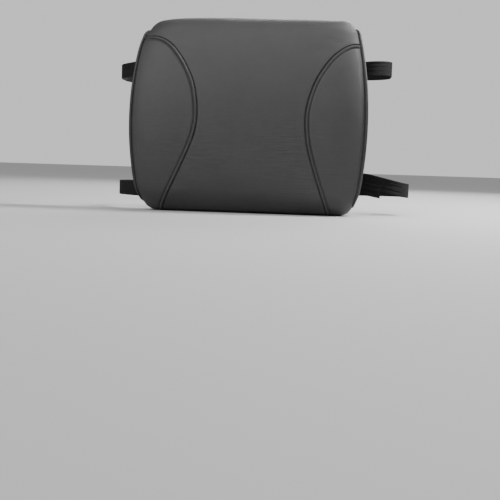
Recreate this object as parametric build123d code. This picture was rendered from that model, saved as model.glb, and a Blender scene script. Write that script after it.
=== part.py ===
"""Lumbar support cushion: a contoured foam block in a sewn leatherette cover, with a
zip across its back and two elastic straps that pass round a seat back and close in
side-release buckles behind the cushion.

Row frame, millimetres: +Z up, +Y towards the seat back, +X to the right of someone
facing the cushion. The origin is the middle of the cushion's flat back face.
"""

import os
from math import atan2, degrees, sqrt

from build123d import *

# ---- Cushion ----
cushion_height = 325.0
width_at_waist = 390.0
width_at_ends = 348.0
corner_radius = 22.0
depth_at_top = 66.0
depth_at_lumbar = 105.0
depth_at_base = 84.0
lumbar_height = -25.0  # where the front stands proudest, from mid height
top_roll_radius = 32.0
base_roll_radius = 26.0
cover_thickness = 1.3
liner_thickness = 0.6

# ---- Side wing panels: the seam's points on the front, right-hand side (x, z) ----
wing_seam = [(180, 127), (126, 97), (91, 30), (97, -60), (134, -162)]
wing_topstitch_gap = 4.5  # from the seam to its row of topstitches
stitch_length = 4.4
stitch_pitch = 6.0
thread_thickness = 0.6
thread_lift = 0.03  # keeps a stitch clear of the curved leatherette under it

# ---- Piping bead round each side panel ----
piping_width = 3.6
piping_height = 2.2

# ---- Zip across the back ----
zip_height = -58.0
zip_left_end = -150.0
zip_right_end = 141.0
zip_opening = 12.4
tape_width = 10.0
tape_thickness = 0.5
tape_margin = 10.0
tooth_pitch = 3.0
tooth_width = 1.3
tooth_length = 2.8
tooth_thickness = 2.4
chain_width = 3.8
slider_length = 11.0
slider_width = 8.0
slider_plate = 1.1
slider_clearance = 0.35
slider_rest_gap = 1.5
stop_gap = 0.6
stop_length = 2.0
stop_split = 0.4  # between the two stops at the closed end
slider_corner = 1.4
slider_post = (1.8, 2.4)  # along and across the zip
slider_post_inset = 0.8
bail_width = 1.8
bail_wire = 1.2
bail_span = 7.6
pull_pin_diameter = 1.2
pull_clearance = 0.2
pull_length = 24.0
pull_width = 7.0
pull_thickness = 1.4
pull_eye_arm = 1.4
pull_eye_gap = 1.6  # between the bail's foot and the tab
pull_corner = 2.0
pull_hole_diameter = 2.8
pull_hole_inset = 4.0
zip_recess_margin = 0.6

# ---- Straps ----
strap_width = 25.0
strap_thickness = 1.4
strap_bend_radius = 45.0
loop_back = 125.0  # from the back face to the strap behind the seat
upper_strap_height = 83.0
lower_strap_height = -130.0
upper_loop_left = 240.0
upper_loop_right = 240.0
lower_loop_left = 240.0
lower_loop_right = 278.0
anchor_inner_end = 118.0
upper_buckle_height = upper_strap_height
lower_buckle_height = -106.0
upper_tail_end = 178.0
lower_tail_end = 226.0
slope_start = 140.0  # where the lower strap starts down from its buckle

# ---- Webbing stubs that hold the buckle sockets ----
stub_thickness = 1.2
stub_inner_end = 10.0
stub_lift_off = 44.0
layer_gap = 0.1

# ---- Side-release buckles ----
buckle_start = 62.0
buckle_gap_to_back = 1.7
buckle_side = 4.0  # from the webbing's edge to the buckle's side
buckle_thickness = 11.0
socket_length = 33.0
socket_bar = 4.0
socket_slot = 4.4
socket_wall = 1.9
socket_side_wall = 2.2
socket_bar_rounding = 0.9
window_start = 11.0
window_length = 11.8
plug_gap = 0.4
plug_collar = 3.6
plug_length = 28.0
web_side_gap = 0.7
rail_width = 2.4
rail_thickness = 5.0
inner_bar_radius = 1.6
inner_bar_offset = 12.1
outer_bar_width = 4.0
outer_bar_thickness = 3.0
guide_width = 6.0
guide_length = 17.4
guide_thickness = 3.2
arm_thickness = 5.6
arm_width = 2.4
arm_pivot_offset = 2.2
arm_pivot_radius = 1.3
arm_clearance = 0.15
arm_reach = 17.7
arm_head_length = 7.2
arm_head_height = 6.5  # from the pivot's line out to the latched head's face
arm_head_recess = 0.2  # of the latched head's face inside the socket's side
latch_clearance = 0.3
root_to_wall = 1.4
web_clearance = 0.2  # between webbing and the bars it wraps
moving_clearance = 0.3

# ---- Worked out from the values above ----
half_height = cushion_height / 2
buckle_width = strap_width + 2 * buckle_side
buckle_centre_y = buckle_gap_to_back + buckle_thickness / 2
mouth_x = buckle_start + socket_length
plug_start = mouth_x + plug_gap
inner_bar_x = plug_start + inner_bar_offset
wrap_radius = inner_bar_radius + web_clearance + strap_thickness / 2
window_end = buckle_start + window_start + window_length
cavity_half_width = buckle_width / 2 - socket_side_wall
cavity_half_thickness = buckle_thickness / 2 - socket_wall
far = 400.0  # longer than anything here, for cutting tools


def box(x, y, z):
    """A box from its three ranges."""
    size = [high - low for low, high in (x, y, z)]
    middle = [(low + high) / 2 for low, high in (x, y, z)]
    return Pos(*middle) * Box(*size)


def closed_face(*edges):
    return make_face(list(edges))


def rounded_at(face, corner, radius):
    """The face with its vertex at corner rounded."""
    chosen = [v for v in face.vertices() if (Vector(v) - Vector(*corner)).length < 0.01]
    return fillet(chosen, radius)


# ---------------------------------------------------------------- cushion body
def outline_corners(inset):
    x, z = width_at_ends / 2 - inset, half_height - inset
    return (x, -z), (x, z), (-x, z), (-x, -z)


def outline_face(inset, radius):
    """The cushion seen from the front, with bowed sides."""
    low_right, top_right, top_left, low_left = outline_corners(inset)
    bow = width_at_waist / 2 - inset
    face = closed_face(
        ThreePointArc(low_right, (bow, 0), top_right),
        Line(top_right, top_left),
        ThreePointArc(top_left, (-bow, 0), low_left),
        Line(low_left, low_right),
    )
    return fillet(face.vertices(), radius) if radius else face


def profile_face(inset):
    """The cushion seen from its side: flat back, arched front, rolled top and base."""
    z = half_height - inset
    back_top, back_base = (-inset, z), (-inset, -z)
    front_top, front_base = (inset - depth_at_top, z), (inset - depth_at_base, -z)
    face = closed_face(
        ThreePointArc(front_base, (inset - depth_at_lumbar, lumbar_height), front_top),
        Line(front_top, back_top),
        Line(back_top, back_base),
        Line(back_base, front_base),
    )
    face = rounded_at(face, front_top, top_roll_radius - inset)
    return rounded_at(face, front_base, base_roll_radius - inset)


def cushion_body(inset):
    """The closed cushion shape, taken in all round by inset."""
    seen_from_front = Plane.XZ * outline_face(inset, corner_radius - inset)
    seen_from_side = Plane.YZ * profile_face(inset)
    return extrude(seen_from_front, far, both=True) & extrude(
        seen_from_side, far, both=True
    )


def between_sides(inset):
    """Everything between the two bowed sides, taken in by inset, at any height."""
    strip = extrude(Plane.XZ * outline_face(inset, 0), far, both=True)
    x = width_at_ends / 2 - inset
    return strip + box((-x, x), (-far, far), (-far, far))


def wing_region():
    """The right-hand wing's ground: outside its curved seam, from front to back."""
    (top_x, top_z), (end_x, end_z) = wing_seam[0], wing_seam[-1]
    face = closed_face(
        Spline(*wing_seam),
        Polyline(
            (end_x, end_z), (end_x, -far), (far, -far), (far, top_z), (top_x, top_z)
        ),
    )
    return extrude(Plane.XZ * face, far, both=True)


def front_depth(z):
    """How far the cushion's front stands from its back face at a height."""
    arc = ThreePointArc(
        (-depth_at_base, -half_height),
        (-depth_at_lumbar, lumbar_height),
        (-depth_at_top, half_height),
    )
    centre, radius = arc.arc_center, arc.radius
    return -centre.X + sqrt(radius**2 - (z - centre.Y) ** 2)


# ---------------------------------------------------------------- zip geometry
tape_inner_y = -cover_thickness - tape_thickness
chain_middle_y = -cover_thickness - tape_thickness / 2
teeth_back_y = chain_middle_y + tooth_thickness / 2
teeth_front_y = chain_middle_y - tooth_thickness / 2
slider_top_y = teeth_back_y + slider_clearance + slider_plate
slider_base_y = teeth_front_y - slider_clearance - slider_plate
slider_rest_x = zip_right_end + slider_rest_gap + slider_length / 2
pull_axis_y = slider_top_y + pull_pin_diameter / 2 + pull_clearance
zip_closed_end = zip_right_end + slider_rest_gap + slider_length + stop_gap + stop_length
zip_span = (zip_left_end - tape_margin, zip_closed_end + tape_margin)
tape_edges = (chain_width / 2, chain_width / 2 + tape_width)


def zip_recess(inset):
    """The hollow behind the zip, so that the slider runs clear of the liner and foam."""
    margin = zip_recess_margin + inset - cover_thickness
    half = tape_edges[1] + margin
    return box(
        (zip_span[0] - margin, zip_span[1] + margin),
        (slider_base_y - margin, 1),
        (zip_height - half, zip_height + half),
    )


def stuffing(inset):
    return cushion_body(inset) - zip_recess(inset)


# ---------------------------------------------------------------- cover panels
def make_stuffing(parts):
    liner_outside = cover_thickness
    foam_outside = cover_thickness + liner_thickness
    parts["foam_core"] = stuffing(foam_outside)
    parts["inner_liner"] = stuffing(liner_outside) - parts["foam_core"]


def make_cover(parts):
    whole = cushion_body(0)
    shell = whole - cushion_body(cover_thickness)
    back_slab = box((-far, far), (-cover_thickness, 1), (-far, far))
    wrap_ground = between_sides(cover_thickness)
    body_of_cover = shell - back_slab
    gussets = body_of_cover - wrap_ground
    wrap = body_of_cover & wrap_ground
    right_wing_ground = wing_region()
    left_wing_ground = mirror(right_wing_ground, Plane.YZ)
    right_of_middle = box((0, far), (-far, far), (-far, far))
    left_of_middle = box((-far, 0), (-far, far), (-far, far))

    parts["front_centre_panel"] = wrap - right_wing_ground - left_wing_ground
    parts["right_wing_panel"] = wrap & right_wing_ground
    parts["left_wing_panel"] = wrap & left_wing_ground
    parts["right_side_panel"] = gussets & right_of_middle
    parts["left_side_panel"] = gussets & left_of_middle

    back = whole & back_slab
    half_opening = zip_opening / 2
    above = box((-far, far), (-far, far), (zip_height + half_opening, far))
    below = box((-far, far), (-far, far), (-far, zip_height - half_opening))
    beyond_zip = back - above - below
    slot = box(zip_span, (-far, far), (-far, far))
    parts["upper_back_panel"] = (back & above) + (beyond_zip - slot)
    parts["lower_back_panel"] = back & below


def make_piping(parts):
    """A corded bead on each edge where the wrapped front meets a side panel."""
    proud = extrude(Plane.YZ * profile_face(-piping_height), far, both=True)
    flush = extrude(Plane.YZ * profile_face(0), far, both=True)
    flat = width_at_ends / 2 - corner_radius
    middle_z = half_height - corner_radius
    bead = (proud - flush) & box((-far, far), (-far, -cover_thickness), (-far, far))
    bead = bead & (between_sides(0) - between_sides(piping_width))
    bead = bead & box((-far, far), (-far, far), (-middle_z, middle_z))
    parts["right_piping"] = bead & box((flat, far), (-far, far), (-far, far))
    parts["left_piping"] = bead & box((-far, -flat), (-far, far), (-far, far))


def wing_stitches(side):
    """Topstitches that follow the wing seam, one small solid for each."""
    seam = Spline(*[(side * x, z) for x, z in wing_seam])
    count = int(seam.length // stitch_pitch)
    made = []
    for i in range(3, count - 2):
        share = (i + 0.5) * stitch_pitch / seam.length
        point, along = seam @ share, seam % share
        outward = Vector(-along.Y, along.X)
        x, z = point.X + outward.X * side * wing_topstitch_gap, point.Y + (
            outward.Y * side * wing_topstitch_gap
        )
        step = 0.5
        slope = (front_depth(z + step) - front_depth(z - step)) / (2 * step)
        y = -front_depth(z) - thread_thickness / 2 * sqrt(1 + slope**2) - thread_lift
        lean = degrees(atan2(slope, 1))
        turn = degrees(atan2(along.X, along.Y))
        made.append(
            Pos(x, y, z)
            * Rot(lean, 0, 0)
            * Rot(0, turn, 0)
            * Box(thread_thickness, thread_thickness, stitch_length)
        )
    return made


def make_wing_stitches(parts):
    for name, side in (("right", 1), ("left", -1)):
        parts[f"{name}_wing_topstitches"] = Compound(wing_stitches(side))


# ---------------------------------------------------------------- zip
def make_zip_chain(parts):
    for name, side in (("upper", 1), ("lower", -1)):
        low, high = sorted(zip_height + side * edge for edge in tape_edges)
        parts[f"{name}_zip_tape"] = box(
            zip_span, (tape_inner_y, -cover_thickness), (low, high)
        )
        first = zip_left_end + (tooth_pitch / 2 if side < 0 else 0)
        count = int((zip_right_end - first) // tooth_pitch)
        root = zip_height + side * chain_width / 2
        tip = root - side * tooth_length
        teeth = [
            box(
                (x, x + tooth_width), (teeth_front_y, teeth_back_y), sorted((root, tip))
            )
            for x in (first + i * tooth_pitch for i in range(count))
        ]
        parts[f"{name}_zip_teeth"] = Compound(teeth)


def make_zip_stops(parts):
    half = chain_width / 2
    depth = (teeth_front_y, teeth_back_y)
    open_x = (zip_left_end - stop_gap - stop_length, zip_left_end - stop_gap)
    closed_start = slider_rest_x + slider_length / 2 + stop_gap
    closed_x = (closed_start, closed_start + stop_length)
    split = stop_split / 2
    ends = [
        box(open_x, depth, (zip_height - half, zip_height + half)),
        box(closed_x, depth, (zip_height + split, zip_height + half)),
        box(closed_x, depth, (zip_height - half, zip_height - split)),
    ]
    parts["zip_end_stops"] = Compound(ends)


def make_zip_slider(parts):
    """Two plates with side flanges round the chain, a post between them and a bail."""
    start, end = slider_rest_x - slider_length / 2, slider_rest_x + slider_length / 2
    half = slider_width / 2
    flange_inner = chain_width / 2 + slider_clearance
    tape_top, tape_base = -cover_thickness, tape_inner_y
    plates = [
        (slider_top_y - slider_plate, slider_top_y),
        (slider_base_y, slider_base_y + slider_plate),
    ]
    body = Part()
    for low, high in plates:
        plate = box((start, end), (low, high), (zip_height - half, zip_height + half))
        body += fillet(plate.edges().filter_by(Axis.Y), slider_corner)
    flanges = [
        (tape_top + slider_clearance, slider_top_y - slider_plate),
        (slider_base_y + slider_plate, tape_base - slider_clearance),
    ]
    for low, high in flanges:
        for side in (1, -1):
            edges = sorted((zip_height + side * flange_inner, zip_height + side * half))
            body += box((start + slider_corner, end - slider_corner), (low, high), edges)
    post_end, post_half = end - slider_post_inset, slider_post[1] / 2
    body += box(
        (post_end - slider_post[0], post_end),
        (slider_base_y, slider_top_y),
        (zip_height - post_half, zip_height + post_half),
    )
    inner_top = pull_axis_y + pull_pin_diameter / 2 + pull_clearance
    bail_edges = (zip_height - bail_width / 2, zip_height + bail_width / 2)
    for side in (1, -1):
        foot = slider_rest_x + side * (bail_span / 2 - bail_wire / 2)
        body += box(
            (foot - bail_wire / 2, foot + bail_wire / 2),
            (slider_top_y - 0.2, inner_top + bail_wire),
            bail_edges,
        )
    body += box(
        (slider_rest_x - bail_span / 2, slider_rest_x + bail_span / 2),
        (inner_top, inner_top + bail_wire),
        bail_edges,
    )
    parts["zip_slider"] = body


def make_zip_pull(parts):
    """A tab with an eye whose pin runs under the slider's bail."""
    eye_end = slider_rest_x - bail_span / 2 - pull_eye_gap
    tab_end = slider_rest_x - pull_length
    half = pull_width / 2
    arm_inner = bail_width / 2 + moving_clearance
    reach = arm_inner + pull_eye_arm
    y = (pull_axis_y - pull_thickness / 2, pull_axis_y + pull_thickness / 2)
    thin = (pull_axis_y - pull_pin_diameter / 2, pull_axis_y + pull_pin_diameter / 2)
    tab = box((tab_end, eye_end), y, (zip_height - half, zip_height + half))
    tab = fillet(tab.edges().filter_by(Axis.Y), pull_corner)
    hole_at = Pos(tab_end + pull_hole_inset, pull_axis_y, zip_height) * Rot(90, 0, 0)
    pull = tab - hole_at * Cylinder(pull_hole_diameter / 2, 2 * pull_thickness)
    for side in (1, -1):
        edges = sorted((zip_height + side * arm_inner, zip_height + side * reach))
        pull += box((eye_end - pull_corner - 0.2, slider_rest_x), thin, edges)
    pin = Cylinder(pull_pin_diameter / 2, 2 * reach)
    pull += Pos(slider_rest_x, pull_axis_y, zip_height) * pin
    parts["zip_pull"] = pull


# ---------------------------------------------------------------- straps
def ribbon_plan(points, radii, thickness):
    """The plan of a band on edge: a path of straight runs and arcs, made thick."""
    path = FilletPolyline(*points, radius=radii)
    return trace(path, line_width=thickness)


def strap_plan(left, right, tail_end):
    """From the left anchor, round the seat back, to the plug's bar and out as a tail."""
    y = buckle_centre_y
    half_gap = (strap_thickness + layer_gap) / 2
    bars_end = plug_start + plug_length + 2
    joined = bars_end + 10
    turn_x = inner_bar_x - wrap_radius
    bend, corner = 12.0, strap_bend_radius
    hairpin = wrap_radius - 0.001
    points = [
        (-anchor_inner_end, strap_thickness / 2),
        (-left, strap_thickness / 2),
        (-left, loop_back),
        (right, loop_back),
        (right, y + half_gap),
        (joined, y + half_gap),
        (bars_end, y + wrap_radius),
        (turn_x, y + wrap_radius),
        (turn_x, y - wrap_radius),
        (bars_end, y - wrap_radius),
        (joined, y - half_gap),
        (tail_end, y - half_gap),
    ]
    radii = [corner] * 4 + [bend] * 2 + [hairpin] * 2 + [bend] * 2
    return ribbon_plan(points, radii, strap_thickness)


def level_band(height):
    half = strap_width / 2
    return box((-far, far), (-far, far), (height - half, height + half))


def sloped_band(from_height, to_height, slope_end):
    """A band that runs level at its buckle, then slopes down to the seat's side."""
    half = strap_width / 2
    face = closed_face(
        Polyline(
            (0, from_height - half),
            (slope_start, from_height - half),
            (slope_end, to_height - half),
            (far, to_height - half),
            (far, to_height + half),
            (slope_end, to_height + half),
            (slope_start, from_height + half),
            (0, from_height + half),
            (0, from_height - half),
        )
    )
    return extrude(Plane.XZ * face, far, both=True)


def make_straps(parts):
    upper = extrude(strap_plan(upper_loop_left, upper_loop_right, upper_tail_end), far, both=True)
    parts["upper_strap"] = upper & level_band(upper_strap_height)

    lower = extrude(strap_plan(lower_loop_left, lower_loop_right, lower_tail_end), far, both=True)
    slope_end = lower_loop_right - strap_bend_radius
    front_right = box((0, far), (-far, loop_back / 2), (-far, far))
    near_buckle = lower & front_right & sloped_band(
        lower_buckle_height, lower_strap_height, slope_end
    )
    parts["lower_strap"] = ((lower - front_right) & level_band(lower_strap_height)) + near_buckle


def make_stub(parts, name, height):
    """A folded webbing stub, sewn to the back panel and looped through the socket."""
    y, half = buckle_centre_y, stub_thickness / 2
    bar_reach = socket_bar / 2 + web_clearance + 0.3 + half
    turn_x = buckle_start + socket_bar + web_clearance + half
    slope_x = buckle_start - 4
    second = half + stub_thickness + layer_gap
    points = [
        (stub_inner_end, half),
        (stub_lift_off, half),
        (slope_x, y - bar_reach),
        (turn_x, y - bar_reach),
        (turn_x, y + bar_reach),
        (slope_x, y + bar_reach),
        (stub_lift_off, second),
        (stub_inner_end, second),
    ]
    radii = [8.0, 8.0, 2.0, 2.0, 8.0, 8.0]
    band = extrude(ribbon_plan(points, radii, stub_thickness), far, both=True)
    parts[f"{name}_buckle_stub"] = band & level_band(height)


def box_stitch(x_range, height, y):
    """A sewn rectangle with a cross in it, raised on the webbing at y."""
    margin = 3.0
    x0, x1 = x_range[0] + margin, x_range[1] - margin
    z0, z1 = height - strap_width / 2 + margin, height + strap_width / 2 - margin
    deep = (y + thread_lift, y + thread_lift + thread_thickness)
    half = thread_thickness / 2
    sewn = Part()
    for x in (x0, x1):
        sewn += box((x - half, x + half), deep, (z0 - half, z1 + half))
    for z in (z0, z1):
        sewn += box((x0 - half, x1 + half), deep, (z - half, z + half))
    length, angle = sqrt((x1 - x0) ** 2 + (z1 - z0) ** 2), degrees(atan2(z1 - z0, x1 - x0))
    middle = Pos((x0 + x1) / 2, (deep[0] + deep[1]) / 2, height)
    for turn in (angle, -angle):
        sewn += middle * Rot(0, turn, 0) * Box(length, thread_thickness, thread_thickness)
    return sewn


def make_anchor_stitches(parts):
    left_end = -(width_at_ends / 2 - 8)
    rows = (
        ("upper", upper_strap_height, upper_buckle_height),
        ("lower", lower_strap_height, lower_buckle_height),
    )
    stub_top = 2 * stub_thickness + layer_gap
    for name, strap_z, stub_z in rows:
        left = box_stitch((left_end, -anchor_inner_end), strap_z, strap_thickness)
        right = box_stitch((stub_inner_end, stub_lift_off - 4), stub_z, stub_top)
        parts[f"{name}_anchor_stitches"] = Compound([*left.solids(), *right.solids()])


# ---------------------------------------------------------------- buckles
def buckle_block(x, half_y, half_z):
    return box(x, (buckle_centre_y - half_y, buckle_centre_y + half_y), (-half_z, half_z))


def softened(shape, axis, radius):
    """The shape with the outermost edges along an axis rounded."""
    groups = shape.edges().filter_by(axis)
    box_of = shape.bounding_box()
    outer = [
        e
        for e in groups
        if abs(abs((e @ 0.5).Z) - box_of.max.Z) < 0.01
        and min(abs((e @ 0.5).Y - box_of.min.Y), abs((e @ 0.5).Y - box_of.max.Y)) < 0.01
    ]
    return fillet(outer, radius)


def buckle_socket():
    half_y, half_z = buckle_thickness / 2, buckle_width / 2
    socket = softened(buckle_block((buckle_start, mouth_x), half_y, half_z), Axis.X, 2.6)
    web_half = strap_width / 2 + web_side_gap
    slot_start = buckle_start + socket_bar
    socket -= buckle_block((slot_start, slot_start + socket_slot), half_y + 1, web_half)
    for side in (1, -1):
        clear = (buckle_centre_y + side * socket_bar / 2, buckle_centre_y + side * (half_y + 1))
        socket -= box((buckle_start - 1, slot_start), sorted(clear), (-web_half, web_half))
    cavity_start = buckle_start + window_start - 1.5
    socket -= buckle_block((cavity_start, mouth_x + 1), cavity_half_thickness, cavity_half_width)
    window = (buckle_start + window_start, window_end)
    socket -= buckle_block(window, cavity_half_thickness, half_z + 1)
    bar_edges = [
        edge
        for edge in socket.edges().filter_by(Axis.Z)
        if (edge @ 0.5).X <= slot_start + 0.01
        and abs(abs((edge @ 0.5).Y - buckle_centre_y) - socket_bar / 2) < 0.01
    ]
    return fillet(bar_edges, socket_bar_rounding)


def arm_pivot(side):
    """The x and z of a latch arm's pivot, from the buckle's middle."""
    head_face = buckle_width / 2 - arm_head_recess
    return plug_start - arm_pivot_offset, side * (head_face - arm_head_height)


def buckle_plug():
    half_y, half_z = buckle_thickness / 2, buckle_width / 2
    collar_end = plug_start + plug_collar
    end = plug_start + plug_length
    plug = softened(buckle_block((plug_start, collar_end), half_y, half_z), Axis.X, 2.6)
    for side in (1, -1):
        rail = sorted((side * (half_z - rail_width), side * half_z))
        plug += box(
            (collar_end - 0.5, end),
            (buckle_centre_y - rail_thickness / 2, buckle_centre_y + rail_thickness / 2),
            rail,
        )
    rod = Cylinder(inner_bar_radius, buckle_width - rail_width)
    plug += Pos(inner_bar_x, buckle_centre_y, 0) * rod
    plug += buckle_block((end - outer_bar_width, end), outer_bar_thickness / 2, half_z - 0.5)
    plug += buckle_block((plug_start - guide_length, plug_start), guide_thickness / 2, guide_width / 2)
    root_start = plug_start - arm_pivot_offset
    plug += buckle_block((root_start, plug_start), arm_thickness / 2, cavity_half_width - root_to_wall)
    for side in (1, -1):
        x, z = arm_pivot(side)
        seat = Pos(x, buckle_centre_y, z) * Rot(90, 0, 0)
        plug -= seat * Cylinder(arm_pivot_radius + arm_clearance, arm_thickness + 1)
    return plug


def latch_arm(side):
    """A latch arm as it sits when latched: its head fills the socket's side window."""
    x, z = arm_pivot(side)
    outer = z + side * arm_head_height
    beam_out, beam_in = z + side * arm_width / 2, z - side * arm_width / 2
    tip, shoulder = x - arm_reach, window_end - latch_clearance
    head_end = shoulder - arm_head_length
    face = closed_face(
        Polyline(
            (x, beam_in),
            (tip + 1, beam_in),
            (tip, z),
            (tip, beam_out),
            (head_end, outer),
            (shoulder, outer),
            (shoulder, beam_out),
            (x, beam_out),
            (x, beam_in),
        )
    )
    arm = extrude(Plane.XZ * face, arm_thickness / 2, both=True)
    arm = Pos(0, buckle_centre_y, 0) * arm
    arm += Pos(x, buckle_centre_y, z) * Rot(90, 0, 0) * Cylinder(
        arm_pivot_radius, arm_thickness
    )
    return arm


def make_buckles(parts):
    for name, height in (("upper", upper_buckle_height), ("lower", lower_buckle_height)):
        at = Pos(0, 0, height)
        make_stub(parts, name, height)
        parts[f"{name}_buckle_socket"] = at * buckle_socket()
        parts[f"{name}_buckle_plug"] = at * buckle_plug()
        parts[f"{name}_latch_arm_top"] = at * latch_arm(1)
        parts[f"{name}_latch_arm_bottom"] = at * latch_arm(-1)


def build():
    parts = {}
    make_stuffing(parts)
    make_cover(parts)
    make_piping(parts)
    make_wing_stitches(parts)
    make_zip_chain(parts)
    make_zip_stops(parts)
    make_zip_slider(parts)
    make_zip_pull(parts)
    make_straps(parts)
    make_anchor_stitches(parts)
    make_buckles(parts)
    return parts


def main():
    os.makedirs("parts", exist_ok=True)
    for node, shape in build().items():
        export_step(Compound(shape.solids()), f"parts/{node}.step")


main()
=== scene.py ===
"""Looks of the lumbar support cushion: a moulded foam block in a leatherette cover with
topstitched side wings and corded edges, a zip across its back, and two elastic straps
that close in side-release buckles.

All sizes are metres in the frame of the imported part: +Z up, +Y towards the seat back,
+X to the right of someone facing the cushion.
"""

import math

import bmesh
import bpy
import numpy as np
from mathutils import Matrix, Vector
from mathutils.bvhtree import BVHTree


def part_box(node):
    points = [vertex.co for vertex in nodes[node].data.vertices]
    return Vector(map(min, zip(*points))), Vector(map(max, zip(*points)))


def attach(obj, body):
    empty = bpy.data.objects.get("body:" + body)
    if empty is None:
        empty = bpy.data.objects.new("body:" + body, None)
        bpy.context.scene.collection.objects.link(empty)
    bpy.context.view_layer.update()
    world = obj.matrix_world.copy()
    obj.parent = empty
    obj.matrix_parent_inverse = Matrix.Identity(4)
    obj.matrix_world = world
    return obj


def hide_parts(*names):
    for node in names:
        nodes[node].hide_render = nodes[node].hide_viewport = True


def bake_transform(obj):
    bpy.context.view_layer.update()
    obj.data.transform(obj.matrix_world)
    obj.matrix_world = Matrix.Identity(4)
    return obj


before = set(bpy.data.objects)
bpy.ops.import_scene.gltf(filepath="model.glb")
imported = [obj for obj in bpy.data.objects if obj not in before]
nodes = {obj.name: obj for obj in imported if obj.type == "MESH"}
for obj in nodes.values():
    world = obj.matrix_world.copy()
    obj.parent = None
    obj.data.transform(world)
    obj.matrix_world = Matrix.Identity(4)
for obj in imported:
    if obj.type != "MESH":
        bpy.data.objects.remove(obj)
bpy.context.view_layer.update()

# ------------------------------------------------------------------ sizes of the cover
HALF_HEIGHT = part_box("front_centre_panel")[1].z
LUMBAR_DEPTH = -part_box("front_centre_panel")[0].y
HALF_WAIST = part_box("right_side_panel")[1].x
HALF_TOP = 0.174
HALF_BASE = 0.179
TOP_DEPTH = 0.066
BASE_DEPTH = 0.084
LUMBAR_HEIGHT = -0.025
TOP_ROLL = 0.032
BASE_ROLL = 0.048
CORNER_RADIUS = 0.022
CORNER_TURN = math.radians(75)  # how far a corner turns before the side panel starts
SIDE_DROP = 0.0125  # how far the front rolls back at its side edges
SIDE_ROLL_WIDTH = 0.060
SLUMP = 0.0065  # the filling has settled a little in the top left corner
LEATHER_THICKNESS = 0.0010

# across and up: where each wing is sewn to the centre, from the corded edge to the base
WING_SEAMS = {
    1: [(0.1820, 0.1240), (0.1615, 0.1180), (0.1379, 0.0997), (0.1199, 0.0759),
        (0.1072, 0.0511), (0.0982, 0.0212), (0.0952, -0.0050), (0.0980, -0.0404),
        (0.1066, -0.0751), (0.1189, -0.1126), (0.1344, -0.1580)],
    -1: [(-0.1780, 0.1370), (-0.1610, 0.1330), (-0.1440, 0.1250), (-0.1248, 0.1091),
         (-0.1036, 0.0800), (-0.0885, 0.0464), (-0.0822, 0.0085),
         (-0.0840, -0.0240), (-0.0932, -0.0540), (-0.1118, -0.0954), (-0.1424, -0.1590)],
}
SEAM_DEPTH = 0.0025  # how far a sewn edge sinks below the panel
SEAM_ROLL = 0.0027  # the width over which it rolls down
RIDGE_HEIGHT = 0.0013
TOPSTITCH_GAP = 0.0060
TOPSTITCH_SINK = 0.0013
CORD_DEPTH = 0.0034  # the panels sink further beside the piping
CORD_ROLL = 0.0050
PIPING_RADIUS = 0.0026

STITCH_PITCH = 0.0060
STITCH_LENGTH = 0.0046
THREAD_RADIUS = 0.00034

FOAM_INSET = 0.0050
PUFF_LIMIT = 0.0045  # how far the filling may push the cover out
PUFF_SHARE = 0.85
FILLING_FRAMES = 20

# ------------------------------------------------------------------ straps and zip
STRAP_WIDTH = 0.025
STRAP_THICKNESS = 0.0014
STUB_THICKNESS = 0.0012
RIB_PITCH = 0.0021
LOOP_BACK = 0.125  # from the cushion's back to the run behind the seat
ANCHOR_HEIGHTS = {"upper": 0.083, "lower": -0.130}  # where a strap is sewn to the back
BUCKLE_HEIGHTS = {"upper": 0.083, "lower": -0.106}
ZIP_HALF_OPENING = 0.0062
TOOTH_PITCH = 0.003
TOOTH_SIZE = (0.0013, 0.0024, 0.0028)

# ------------------------------------------------------------------ stage and camera
FLOOR_GAP = 0.0008  # clears the raised fold under the base
FLOOR_TONE, WALL_TONE = 0.42, 0.78
KEY_LIGHT, ROOM_LIGHT, FRONT_LIGHT, RIM_LIGHT, BACK_LIGHT = 2.9, 0.12, 8, 80, 50
CAMERA_AZIMUTH, CAMERA_ELEVATION, CAMERA_ROLL = (math.radians(a) for a in (5.0, -3.0, 1.8))
CAMERA_DISTANCE = 1.656
CAMERA_ORBITS = (0, -0.05, 0)  # the cushion's middle, which the camera stands round
CAMERA_FACES = (0.0076, -0.05, -0.2264)  # below the cushion, which so sits high in the frame

SIDES = ((1, "right"), (-1, "left"))


# ------------------------------------------------------------------ small geometry
def arc_through(a, b, c):
    """Centre and radius of the circle through three points."""
    (ax, ay), (bx, by), (cx, cy) = a, b, c
    d = 2 * (ax * (by - cy) + bx * (cy - ay) + cx * (ay - by))
    aa, bb, cc = ax * ax + ay * ay, bx * bx + by * by, cx * cx + cy * cy
    ux = (aa * (by - cy) + bb * (cy - ay) + cc * (ay - by)) / d
    uy = (aa * (cx - bx) + bb * (ax - cx) + cc * (bx - ax)) / d
    return ux, uy, math.hypot(ax - ux, ay - uy)


def smooth_step(t):
    t = np.clip(t, 0, 1)
    return t * t * (3 - 2 * t)


def smooth_curve(points, count):
    """A Catmull-Rom curve through points, sampled evenly along its length."""
    p = np.array(points, float)
    p = np.vstack([2 * p[0] - p[1], p, 2 * p[-1] - p[-2]])
    out = []
    for i in range(1, len(p) - 2):
        t = np.linspace(0, 1, 60, endpoint=False)[:, None]
        a, b, c, d = p[i - 1], p[i], p[i + 1], p[i + 2]
        out.append(0.5 * (2 * b + (c - a) * t + (2 * a - 5 * b + 4 * c - d) * t**2
                          + (3 * b - a - 3 * c + d) * t**3))
    line = np.vstack(out + [p[-2][None]])
    return resample(line, count)


def lengths(line):
    return np.concatenate([[0], np.cumsum(np.linalg.norm(np.diff(line, axis=0), axis=1))])


def resample(line, count):
    along = lengths(line)
    at = np.linspace(0, along[-1], count)
    return np.stack([np.interp(at, along, line[:, k]) for k in range(line.shape[1])], 1)


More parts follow.
